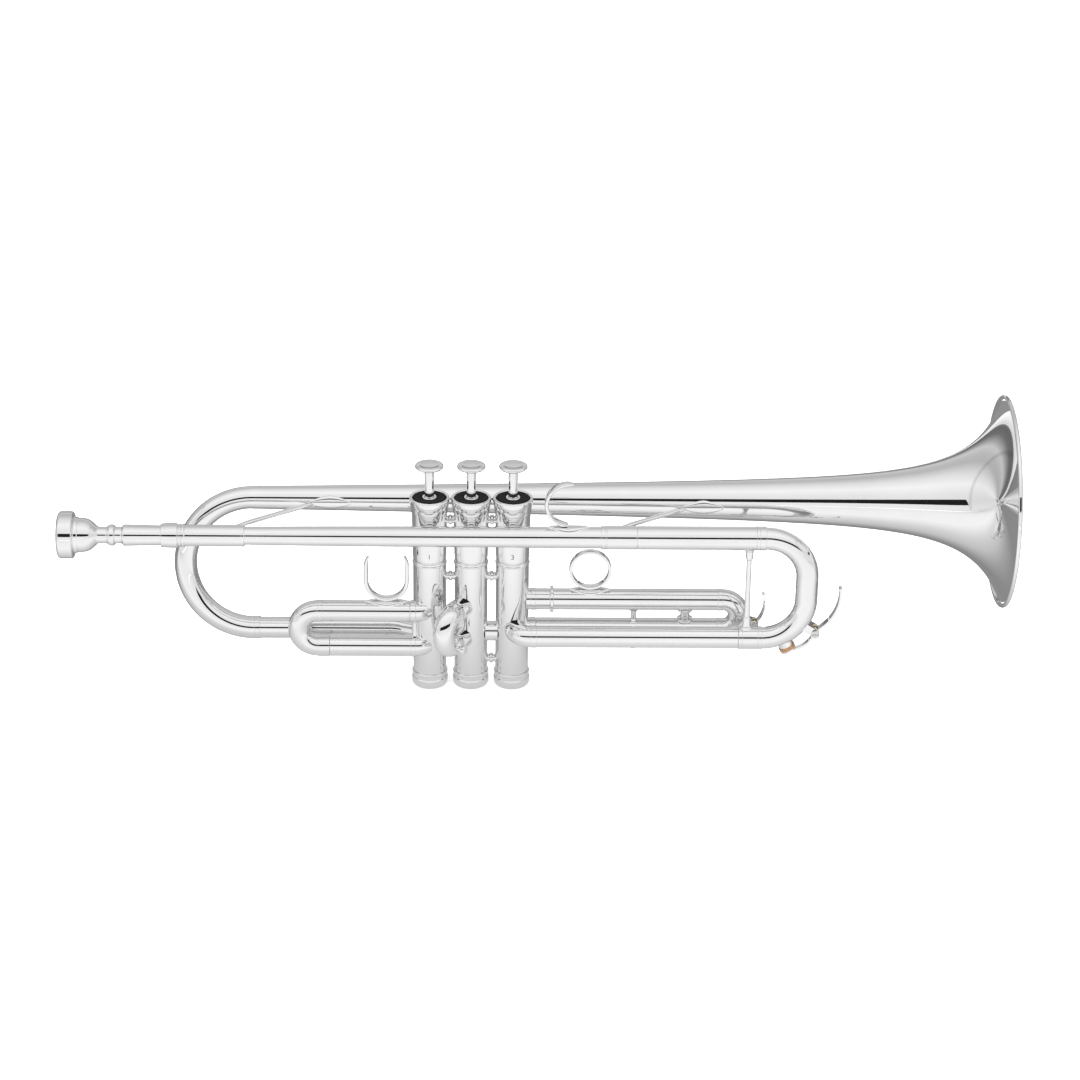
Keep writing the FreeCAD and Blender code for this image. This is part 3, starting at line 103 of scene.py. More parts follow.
@dataclass
class Wiring:
    """A node tree with short calls for adding and joining nodes."""

    tree: bpy.types.NodeTree

    def node(self, kind: str, **values: object) -> bpy.types.Node:
        """Adds a node.

        Args:
            kind: Node type name.
            **values: Properties to set on the node.

        Returns:
            The new node.
        """
        made = self.tree.nodes.new(kind)
        for key, value in values.items():
            setattr(made, key, value)
        return made

    def feed(self, node: bpy.types.Node, name: str, value: object) -> None:
        """Joins a socket to an input, or sets the input to a plain value.

        Args:
            node: Node that takes the value.
            name: Name of the input.
            value: A socket or a plain value.
        """
        if isinstance(value, bpy.types.NodeSocket):
            self.tree.links.new(value, node.inputs[name])
        else:
            node.inputs[name].default_value = value

    def noise(self, vector: object, scale: object, detail: float, rough: float = 0.5) -> object:
        """Fractal noise from 0 to 1.

        Args:
            vector: Socket with the point in metres.
            scale: Features per metre, a number or a socket.
            detail: Number of octaves.
            rough: Share of each finer octave.

        Returns:
            The noise socket.
        """
        made = self.node("ShaderNodeTexNoise")
        self.feed(made, "Vector", vector)
        self.feed(made, "Scale", scale)
        self.feed(made, "Detail", detail)
        self.feed(made, "Roughness", rough)
        return made.outputs["Fac"]

    def spread(self, value: object, low: object, high: object,
               start: float = 0.0, end: float = 1.0) -> object:
        """Maps a value from one range to another, with both ends held.

        Args:
            value: Socket to map.
            low: Result at start.
            high: Result at end.
            start: Lower end of the incoming range.
            end: Upper end of the incoming range.

        Returns:
            The mapped socket.
        """
        made = self.node("ShaderNodeMapRange")
        self.feed(made, "Value", value)
        self.feed(made, "From Min", start)
        self.feed(made, "From Max", end)
        self.feed(made, "To Min", low)
        self.feed(made, "To Max", high)
        return made.outputs["Result"]

    def maths(self, action: str, first: object, second: object) -> object:
        """One arithmetic step on two values.

        Args:
            action: Name of the step.
            first: A socket or a number.
            second: A socket or a number.

        Returns:
            The socket with the result.
        """
        made = self.node("ShaderNodeMath", operation=action)
        for socket, value in zip(made.inputs, (first, second)):
            if isinstance(value, bpy.types.NodeSocket):
                self.tree.links.new(value, socket)
            else:
                socket.default_value = value
        return made.outputs[0]

    def blend(self, share: object, first: object, second: object) -> object:
        """Mixes two colours.

        Args:
            share: How much of the second colour shows.
            first: Colour at 0.
            second: Colour at 1.

        Returns:
            The mixed colour socket.
        """
        made = self.node("ShaderNodeMix", data_type="RGBA")
        for index, value in ((MIX_SHARE, share), (MIX_FIRST, first), (MIX_SECOND, second)):
            if isinstance(value, bpy.types.NodeSocket):
                self.tree.links.new(value, made.inputs[index])
            elif index == MIX_SHARE:
                made.inputs[index].default_value = value
            else:
                made.inputs[index].default_value = (*value, 1.0)
        return made.outputs[MIX_RESULT]

    def product(self, first: object, second: object) -> object:
        """Multiplies two tones.

        Args:
            first: Socket with one tone.
            second: Socket with the other tone.

        Returns:
            The socket with their product.
        """
        made = self.node("ShaderNodeMix", data_type="RGBA", blend_type="MULTIPLY")
        made.inputs[MIX_SHARE].default_value = 1.0
        self.tree.links.new(first, made.inputs[MIX_FIRST])
        self.tree.links.new(second, made.inputs[MIX_SECOND])
        return made.outputs[MIX_RESULT]

    def emboss(self, shader: bpy.types.Node, height: object, strength: float,
               depth: float) -> None:
        """Gives a shader fine relief.

        Args:
            shader: The main shader.
            height: Socket with the height, from 0 to 1.
            strength: How much of the relief shows.
            depth: Depth of the relief in metres.
        """
        made = self.node("ShaderNodeBump")
        made.inputs["Strength"].default_value = strength
        made.inputs["Distance"].default_value = depth
        self.feed(made, "Height", height)
        self.feed(shader, "Normal", made.outputs["Normal"])

    def ramp(self, value: object, stops: Tones) -> object:
        """Grey tones along a value from 0 to 1.

        Args:
            value: Socket that picks the place.
            stops: Pairs of place and tone.

        Returns:
            The tone socket.
        """
        made = self.node("ShaderNodeValToRGB")
        marks = made.color_ramp.elements
        while len(marks) < len(stops):
            marks.new(1.0)
        for mark, (place, tone) in zip(marks, stops):
            mark.position, mark.color = place, (tone, tone, tone, 1.0)
        self.feed(made, "Fac", value)
        return made.outputs["Color"]


class GroupBook:
    """Builds each shared shader group once and places it in materials."""

    def __init__(self) -> None:
        """Starts with no group built."""
        self.built: dict[str, bpy.types.NodeTree] = {}

    def start(self, name: str, inputs: dict[str, float],
              outputs: tuple[str, ...]) -> tuple[Wiring, object, object]:
        """Opens a new group with named sockets.

        Args:
            name: Group name.
            inputs: Input names with their defaults.
            outputs: Names of the value outputs.

        Returns:
            The wiring, the input node and the output node.
        """
        tree = bpy.data.node_groups.new(name, "ShaderNodeTree")
        tree.interface.new_socket("Point", in_out="INPUT", socket_type="NodeSocketVector")
        for key, value in inputs.items():
            socket = tree.interface.new_socket(key, in_out="INPUT", socket_type="NodeSocketFloat")
            socket.default_value = value
        for key in outputs:
            tree.interface.new_socket(key, in_out="OUTPUT", socket_type="NodeSocketFloat")
        wiring = Wiring(tree)
        self.built[name] = tree
        return wiring, wiring.node("NodeGroupInput"), wiring.node("NodeGroupOutput")

    def clouding(self) -> bpy.types.NodeTree:
        """Soft patches of tarnish and handling marks, as a mask from 0 to 1.

        Returns:
            The group.
        """
        if "Clouding" in self.built:
            return self.built["Clouding"]
        wiring, source, sink = self.start("Clouding", {"Scale": 30.0, "Breakup": 260.0}, ("Mask",))
        broad = wiring.noise(source.outputs["Point"], source.outputs["Scale"], 4.0, 0.6)
        fine = wiring.noise(source.outputs["Point"], source.outputs["Breakup"], 3.0)
        patch = wiring.spread(broad, 0.0, 1.0, 0.42, 0.72)
        wiring.feed(sink, "Mask", wiring.maths("MULTIPLY", patch, wiring.spread(fine, 0.4, 1.0)))
        return self.built["Clouding"]

    def edge_wear(self) -> bpy.types.NodeTree:
        """Mask of rubbed edges, broken up by noise.

        Returns:
            The group.
        """
        if "Edge wear" in self.built:
            return self.built["Edge wear"]
        wiring, source, sink = self.start("Edge wear", {"Amount": 0.5, "Scale": 900.0}, ("Mask",))
        bend = wiring.node("ShaderNodeNewGeometry").outputs["Pointiness"]
        edge = wiring.spread(bend, 0.0, 1.0, 0.51, 0.58)
        patchy = wiring.noise(source.outputs["Point"], source.outputs["Scale"], 3.0)
        rubbed = wiring.maths("MULTIPLY", edge, wiring.spread(patchy, 0.2, 1.0, 0.35, 0.65))
        wiring.feed(sink, "Mask", wiring.maths("MULTIPLY", rubbed, source.outputs["Amount"]))
        return self.built["Edge wear"]

    def polishing(self) -> bpy.types.NodeTree:
        """Fine buffing lines and a gentle waviness, as a height and a gloss mask.

        Returns:
            The group.
        """
        if "Polishing" in self.built:
            return self.built["Polishing"]
        wiring, source, sink = self.start("Polishing", {"Lines": 1400.0, "Wave": 55.0},
                                          ("Height", "Dulling"))
        stretch = wiring.node("ShaderNodeMapping")
        wiring.feed(stretch, "Vector", source.outputs["Point"])
        wiring.feed(stretch, "Scale", (0.05, 1.0, 1.0))
        lines = wiring.noise(stretch.outputs["Vector"], source.outputs["Lines"], 3.0, 0.6)
        wave = wiring.noise(source.outputs["Point"], source.outputs["Wave"], 2.0)
        small = wiring.maths("MULTIPLY", lines, 0.12)
        wiring.feed(sink, "Height", wiring.maths("ADD", wave, small))
        wiring.feed(sink, "Dulling", wiring.spread(lines, 0.0, 1.0, 0.45, 0.75))
        return self.built["Polishing"]

    def fibres(self) -> bpy.types.NodeTree:
        """Matted fibres of felt, as a height and a tone mask.

        Returns:
            The group.
        """
        if "Fibres" in self.built:
            return self.built["Fibres"]
        wiring, source, sink = self.start("Fibres", {"Scale": 2600.0}, ("Height", "Tone"))
        warp = wiring.node("ShaderNodeTexNoise")
        wiring.feed(warp, "Vector", source.outputs["Point"])
        wiring.feed(warp, "Scale", 700.0)
        push = wiring.node("ShaderNodeVectorMath", operation="MULTIPLY_ADD")
        wiring.tree.links.new(warp.outputs["Color"], push.inputs[0])
        push.inputs[1].default_value = (0.002, 0.002, 0.002)
        wiring.tree.links.new(source.outputs["Point"], push.inputs[2])
        hairs = wiring.noise(push.outputs[0], source.outputs["Scale"], 5.0, 0.75)
        wiring.feed(sink, "Height", hairs)
        wiring.feed(sink, "Tone", wiring.spread(hairs, 0.0, 1.0, 0.35, 0.7))
        return self.built["Fibres"]

    def granules(self) -> bpy.types.NodeTree:
        """Pressed cork granules with dark pores.

        Returns:
            The group.
        """
        if "Granules" in self.built:
            return self.built["Granules"]
        wiring, source, sink = self.start("Granules", {"Scale": 1500.0}, ("Grain", "Pores"))
        cells = wiring.node("ShaderNodeTexVoronoi")
        wiring.feed(cells, "Vector", source.outputs["Point"])
        wiring.feed(cells, "Scale", source.outputs["Scale"])
        wiring.feed(sink, "Grain", cells.outputs["Distance"])
        pores = wiring.noise(source.outputs["Point"], 3200.0, 4.0, 0.7)
        wiring.feed(sink, "Pores", wiring.spread(pores, 0.0, 1.0, 0.58, 0.7))
        return self.built["Granules"]

    def place(self, wiring: Wiring, tree: bpy.types.NodeTree, point: object,
              **values: object) -> bpy.types.Node:
        """Puts a group in a material.

        Args:
            wiring: The material's wiring.
            tree: The group.
            point: Socket with the point in metres.
            **values: Values for the group's inputs.

        Returns:
            The group node.
        """
        made = wiring.node("ShaderNodeGroup", node_tree=tree)
        wiring.feed(made, "Point", point)
        for key, value in values.items():
            wiring.feed(made, key, value)
        return made


BOOK = GroupBook()


def open_material(name: str) -> tuple[bpy.types.Material, Wiring, bpy.types.Node, object]:
    """Starts a material that has only its main shader.

    Args:
        name: Material name.

    Returns:
        The material, its wiring, the Principled shader and the point socket.
    """
    material = bpy.data.materials.new(name)
    material.use_nodes = True
    wiring = Wiring(material.node_tree)
    shader = material.node_tree.nodes["Principled BSDF"]
    point = wiring.node("ShaderNodeTexCoord").outputs["Object"]
    return material, wiring, shader, point


# --- finishes ---------------------------------------------------------------------------


@dataclass(frozen=True)
class MetalFinish:
    """A polished or turned metal surface."""

    slot: Slot
    name: str
    clean: Colour
    dull: Colour
    worn: Colour
    gloss: tuple[float, float]
    tarnish: float = 0.35
    wear: float = 0.5
    bump: float = 0.02
    depth: float = 0.0004
    lines: float = 1400.0

    def build(self) -> bpy.types.Material:
        """Makes the material from clouding, edge wear and polishing.

        Returns:
            The material.
        """
        material, wiring, shader, point = open_material(self.name)
        cloud = BOOK.place(wiring, BOOK.clouding(), point)
        wear = BOOK.place(wiring, BOOK.edge_wear(), point, Amount=self.wear)
        polish = BOOK.place(wiring, BOOK.polishing(), point, Lines=self.lines)
        haze = wiring.maths("MULTIPLY", cloud.outputs["Mask"], self.tarnish)
        plate = wiring.blend(haze, self.clean, self.dull)
        wiring.feed(shader, "Base Color", wiring.blend(wear.outputs["Mask"], plate, self.worn))
        low, high = self.gloss
        matt = wiring.maths("MAXIMUM", cloud.outputs["Mask"], polish.outputs["Dulling"])
        wiring.feed(shader, "Roughness", wiring.spread(matt, low, high))
        shader.inputs["Metallic"].default_value = 1.0
        wiring.emboss(shader, polish.outputs["Height"], self.bump, self.depth)
        return material


@dataclass(frozen=True)
class FeltFinish:
    """Pressed black felt."""

    slot: Slot
    name: str
    deep: Colour
    light: Colour
    rough: tuple[float, float] = (0.88, 1.0)
    sheen: float = 0.03
    sheen_rough: float = 0.6
    shine: float = 0.15
    bump: float = 0.9
    depth: float = 0.0003

    def build(self) -> bpy.types.Material:
        """Makes the material from matted fibres.

        Returns:
            The material.
        """
        material, wiring, shader, point = open_material(self.name)
        felt = BOOK.place(wiring, BOOK.fibres(), point)
        wiring.feed(shader, "Base Color", wiring.blend(felt.outputs["Tone"], self.deep, self.light))
        wiring.feed(shader, "Roughness", wiring.spread(felt.outputs["Tone"], *self.rough))
        shader.inputs["Sheen Weight"].default_value = self.sheen
        shader.inputs["Sheen Roughness"].default_value = self.sheen_rough
        shader.inputs["Specular IOR Level"].default_value = self.shine
        wiring.emboss(shader, felt.outputs["Height"], self.bump, self.depth)
        return material


@dataclass(frozen=True)
class CorkFinish:
    """Agglomerated cork."""

    slot: Slot
    name: str
    pale: Colour
    brown: Colour
    pore: Colour
    rough: tuple[float, float] = (0.7, 0.95)
    bump: float = 0.6
    depth: float = 0.0003

    def build(self) -> bpy.types.Material:
        """Makes the material from pressed granules.

        Returns:
            The material.
        """
        material, wiring, shader, point = open_material(self.name)
        cork = BOOK.place(wiring, BOOK.granules(), point)
        body = wiring.blend(wiring.spread(cork.outputs["Grain"], 0.0, 1.0, 0.1, 0.7),
                            self.pale, self.brown)
        wiring.feed(shader, "Base Color", wiring.blend(cork.outputs["Pores"], body, self.pore))
        wiring.feed(shader, "Roughness", wiring.spread(cork.outputs["Grain"], *self.rough))
        wiring.emboss(shader, cork.outputs["Grain"], self.bump, self.depth)
        return material


@dataclass(frozen=True)
class NylonFinish:
    """Milky moulded nylon."""

    slot: Slot
    name: str
    clear: Colour
    grubby: Colour
    rough: tuple[float, float] = (0.35, 0.6)
    bump: float = 0.2
    depth: float = 0.0001

    def build(self) -> bpy.types.Material:
        """Makes the material from clouding.

        Returns:
            The material.
        """
        material, wiring, shader, point = open_material(self.name)
        cloud = BOOK.place(wiring, BOOK.clouding(), point, Scale=300.0, Breakup=1500.0)
        wiring.feed(shader, "Base Color",
                    wiring.blend(cloud.outputs["Mask"], self.clear, self.grubby))
        wiring.feed(shader, "Roughness", wiring.spread(cloud.outputs["Mask"], *self.rough))
        wiring.emboss(shader, cloud.outputs["Mask"], self.bump, self.depth)
        return material


FINISHES = (
    MetalFinish(Slot.SILVER, "Silver plate", (0.9, 0.899, 0.903), (0.8, 0.79, 0.775),
                (0.97, 0.968, 0.965), (0.02, 0.07)),
    MetalFinish(Slot.NICKEL, "Lapped nickel", (0.72, 0.70, 0.66), (0.6, 0.57, 0.52),
                (0.8, 0.79, 0.76), (0.16, 0.3), bump=0.1, lines=3200.0),
    MetalFinish(Slot.SPRING, "Spring wire", (0.72, 0.62, 0.45), (0.5, 0.4, 0.27),
                (0.85, 0.78, 0.6), (0.18, 0.34), bump=0.1, lines=3200.0),
    MetalFinish(Slot.SCREW, "Turned screw steel", (0.7, 0.68, 0.65), (0.5, 0.46, 0.42),
                (0.85, 0.84, 0.82), (0.14, 0.3), bump=0.1, lines=3200.0),
    FeltFinish(Slot.FELT, "Black felt", (0.003, 0.003, 0.0035), (0.014, 0.0135, 0.014)),
    CorkFinish(Slot.CORK, "Cork", (0.56, 0.33, 0.17), (0.34, 0.17, 0.075), (0.12, 0.055, 0.025)),
    NylonFinish(Slot.NYLON, "Nylon", (0.82, 0.8, 0.74), (0.6, 0.56, 0.48)),
)


class Wardrobe:
    """The finished materials by slot."""

    def __init__(self) -> None:
        """Builds every finish once."""
        self.materials = {finish.slot: finish.build() for finish in FINISHES}

    def dress(self, thing: bpy.types.Object, slot: Slot) -> None:
        """Gives an object one finish in all its material slots.

        Args:
            thing: Object to dress.
            slot: The finish's slot.
        """
        if not thing.data.materials:
            thing.data.materials.append(self.materials[slot])
        for place in thing.material_slots:
            place.material = self.materials[slot]


# --- shapes -----------------------------------------------------------------------------


@dataclass(frozen=True)
class Extent:
    """The box of a CAD node in millimetres."""

    low: Vector
    high: Vector

    @classmethod
    def of(cls, node: str) -> "Extent":
        """Reads the box of one CAD node."""
        low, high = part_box(node)
        return cls(low / MM, high / MM)

    @property
    def centre(self) -> Vector:
        """Middle of the box."""
        return (self.low + self.high) / 2


def soften(outline: Outline, reach: float) -> Outline:
    """Rounds the corners of a closed outline.

    Args:
        outline: Points of (distance along, radius) in millimetres.
        reach: How far each rounding may run along its two sides.

    Returns:
        The outline with each sharp corner as a short curve.
    """
    points = [Vector(p) for p in outline]
    result: Outline = []
    for index, corner in enumerate(points):
        before = points[index - 1] - corner
        after = points[(index + 1) % len(points)] - corner
        short = min(before.length, after.length)
        if (corner.y < SLIVER or short < SLIVER
                or abs(before.angle(after) - math.pi) < STRAIGHT):
            result.append((corner.x, corner.y))
            continue
        run = min(reach, short * CORNER_SHARE)
        start, end = corner + before.normalized() * run, corner + after.normalized() * run
        for share in CORNER_STEPS:
            point = start * (1 - share) ** 2 + corner * (2 * share * (1 - share)) + end * share ** 2
            result.append((point.x, point.y))
    return result


def upright(way: Vector) -> Vector:
    """A unit vector square to a direction."""
    other = Z if abs(way.z) < 0.9 else X
    return (other - way * other.dot(way)).normalized()


class Metalwork:
    """Collects turned, bent and formed shapes into one smooth piece."""

    BEND_STEP = 3               # degrees between the rings of a bend
    STRIP_SIDES = 24            # faces round a strip
    STRIP_TIP = (0.45, 3.5, 24)  # a strip's end: its first share, growth and growth points
    STRIP_FLAT = (0.55, 0.75)   # squareness across a strip and through it
    WIRE_SIDES = 12             # faces round a coil's wire
    TURN_STEPS = 40             # rings in each turn of a coil
    FOOT_STEPS = 16             # rings in each half of a foot's length
    FOOT_HALF = 8               # faces in each half of a foot's width
    FOOT_SINK = 0.3             # how far a foot's underside lies in the tube

    def __init__(self) -> None:
        """Starts an empty mesh, in millimetres."""
        self.mesh = bmesh.new()

    def skin(self, rings: list[list[Vector]], closed: bool) -> None:
        """Joins rings of points by faces.

        Args:
            rings: Rings with the same number of points.
            closed: True if the last ring joins the first.
        """
        made = [[self.mesh.verts.new(p) for p in ring] for ring in rings]
        pairs = list(zip(made, made[1:])) + ([(made[-1], made[0])] if closed else [])
        count = len(made[0])
        for near, far in pairs:
            for i in range(count):
                j = (i + 1) % count
                self.mesh.faces.new((near[i], near[j], far[j], far[i]))
        if not closed:
            self.mesh.faces.new(list(reversed(made[0])))
            self.mesh.faces.new(made[-1])

    def turn(self, outline: Outline, origin: Vector, way: Vector, sides: int = 96,
             corner: float = 0.25) -> "Metalwork":
        """Turns a closed outline about a line.

        Args:
            outline: Points of (distance along, radius).
            origin: A point on the line.
            way: Direction of the line.
            sides: Faces round the line.
            corner: Rounding of the corners.

        Returns:
            This piece.
        """
        side = upright(way)
        other = way.cross(side)
        rings = []
        for along, radius in soften(outline, corner) if corner else outline:
            turnings = (2 * math.pi * i / sides for i in range(sides))
            rings.append([origin + way * along + (side * math.cos(t) + other * math.sin(t)) * radius
                          for t in turnings])
        self.skin(rings, True)
        return self

    def tube(self, start: Vector, heading: Vector, steps: list[tuple], outer: float,
             wall: float = WALL, sides: int = 64) -> "Metalwork":
        """Bends a tube along runs and bends.

        Args:
            start: First point of the centreline.
            heading: First direction.
            steps: ("run", length) and ("bend", radius, degrees, axis).
            outer: Outer radius.
            wall: Wall thickness.
            sides: Faces round the tube.

        Returns:
            This piece.
        """
        stations = [(start, heading.normalized(), upright(heading.normalized()))]
        for step in steps:
            at, way, side = stations[-1]
            if step[0] == "run":
                stations.append((at + way * step[1], way, side))
                continue
            radius, degrees, axis = step[1:]
            centre = at - way.cross(axis) * radius
            count = max(2, round(abs(degrees) / self.BEND_STEP))
            for index in range(1, count + 1):
                turn = Quaternion(axis, math.radians(degrees) * index / count)
                stations.append((centre + turn @ (at - centre), turn @ way, turn @ side))
        rings = []
        for reach, order in ((outer, stations), (outer - wall, stations[::-1])):
            for at, way, side in order:
                other = way.cross(side)
                rings.append([at + (side * math.cos(t) + other * math.sin(t)) * reach
                              for t in (2 * math.pi * i / sides for i in range(sides))])
        self.skin(rings, True)
        return self

    def strip(self, path: list[Vector], across: Vector, width: float, thick: float,
              ends: float = 1.0) -> "Metalwork":
        """Forms a strip with rounded edges along a path.

        Args:
            path: Points of the centreline.
            across: Direction of the strip's width.
            width: Width of the strip.
            thick: Thickness of the strip.
            ends: Width of the last third as a share of the width.

        Returns:
            This piece.
        """
        rings = []
        count = len(path)
        tip, growth, points = self.STRIP_TIP
        square_across, square_through = self.STRIP_FLAT
        for index, at in enumerate(path):
            way = (path[min(index + 1, count - 1)] - path[max(index - 1, 0)]).normalized()
            rise = way.cross(across).normalized()
            share = index / (count - 1)
            edge = min(1.0, tip + growth * min(share, 1 - share) * count / points)
            wide = width * (1 + (ends - 1) * max(0.0, share * 3 - 2)) * edge ** 0.5
            ring = []
            for step in range(self.STRIP_SIDES):
                angle = 2 * math.pi * step / self.STRIP_SIDES
                c, s = math.cos(angle), math.sin(angle)
                flat_c = math.copysign(abs(c) ** square_across, c)
                flat_s = math.copysign(abs(s) ** square_through, s)
                ring.append(at + across * (flat_c * wide / 2) + rise * (flat_s * thick * edge / 2))
            rings.append(ring)
        self.skin(rings, False)
        return self

    def coil(self, foot: Vector, radius: float, height: float, turns: int,
             wire: float) -> "Metalwork":
        """Winds an upright coil of round wire.

        Args:
            foot: Point on the coil's axis at the height where its wire starts.
            radius: Mean radius of the coil.
            height: Height between the first and last point.
            turns: Number of turns.
            wire: Radius of the wire.

        Returns:
            This piece.
        """
        rings = []
        count = turns * self.TURN_STEPS
        for index in range(count + 1):
            angle = 2 * math.pi * turns * index / count
            out = X * math.cos(angle) + Y * math.sin(angle)
            at = foot + out * radius + Z * (height * index / count)
            angles = (2 * math.pi * i / self.WIRE_SIDES for i in range(self.WIRE_SIDES))
            rings.append([at + (out * math.cos(t) + Z * math.sin(t)) * wire for t in angles])
        self.skin(rings, False)
        return self

    def foot(self, at: Vector, along: Vector, facing: Vector, tube: float,
             size: tuple[float, float, float]) -> "Metalwork":
        """Forms a pointed solder foot that hugs a tube.

        Args:
            at: Point on the tube's axis under the middle of the foot.
            along: Direction of the tube.
            facing: Direction from the axis to the foot.
            tube: Outer radius of the tube.
            size: Length, width and thickness.

        Returns:
            This piece.
        """
        length, width, thick = size
        across = along.cross(facing)
        rings = []
        last = self.FOOT_HALF
        for i in range(2 * self.FOOT_STEPS + 1):
            u = math.sin(math.pi / 2 * (i / self.FOOT_STEPS - 1))
            half = width / 2 * max(0.02, (1 - abs(u) ** 1.5)) ** 0.9
            dome = 1 - abs(u) ** 8
            ring = []
            over, under = range(-last, last + 1), range(last, -last - 1, -1)
            for on_top, steps in ((True, over), (False, under)):
                for j in steps:
                    v = j / last
                    rise = thick * (1 - abs(v) ** 6) * dome if on_top else -self.FOOT_SINK
                    angle = v * half / tube
                    radius = tube + rise
                    ring.append(at + along * (u * length / 2) + facing * (radius * math.cos(angle))
                                + across * (radius * math.sin(angle)))
            rings.append(ring)
        self.skin(rings, False)
        return self

    def piece(self, name: str, carrier: Carrier, *nodes: str) -> bpy.types.Object:
        """Finishes the mesh as one smooth piece.

        Args:
            name: Object name.
            carrier: The body it rides on.
            *nodes: CAD nodes that it stands for.

        Returns:
            The new object.
        """
        bmesh.ops.remove_doubles(self.mesh, verts=self.mesh.verts, dist=MERGE)
        bmesh.ops.dissolve_degenerate(self.mesh, edges=self.mesh.edges, dist=SLIVER)
        bmesh.ops.recalc_face_normals(self.mesh, faces=self.mesh.faces)
        bmesh.ops.scale(self.mesh, vec=(MM, MM, MM), verts=self.mesh.verts)
        data = bpy.data.meshes.new(name)
        self.mesh.to_mesh(data)
        self.mesh.free()
        data.shade_smooth()
        data.set_sharp_from_angle(angle=CREASE)
        made = bpy.data.objects.new(name, data)
        bpy.context.scene.collection.objects.link(made)
        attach(made, carrier.value)
        if nodes:
            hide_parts(*nodes)
        LOG.info("made %s for %s", name, ", ".join(nodes) or "the surface")
        return made


def arc(centre: Vector, first: Vector, axis: Vector, degrees: float, count: int) -> list[Vector]:
    """Points along an arc.

    Args:
        centre: Centre of the arc.
        first: First point.
        axis: Axis of the turn.
        degrees: Angle of the turn.
        count: Number of points.

    Returns:
        The points, first to last.
    """
    return [centre + Quaternion(axis, math.radians(degrees) * i / (count - 1)) @ (first - centre)
            for i in range(count)]


# --- valves -----------------------------------------------------------------------------


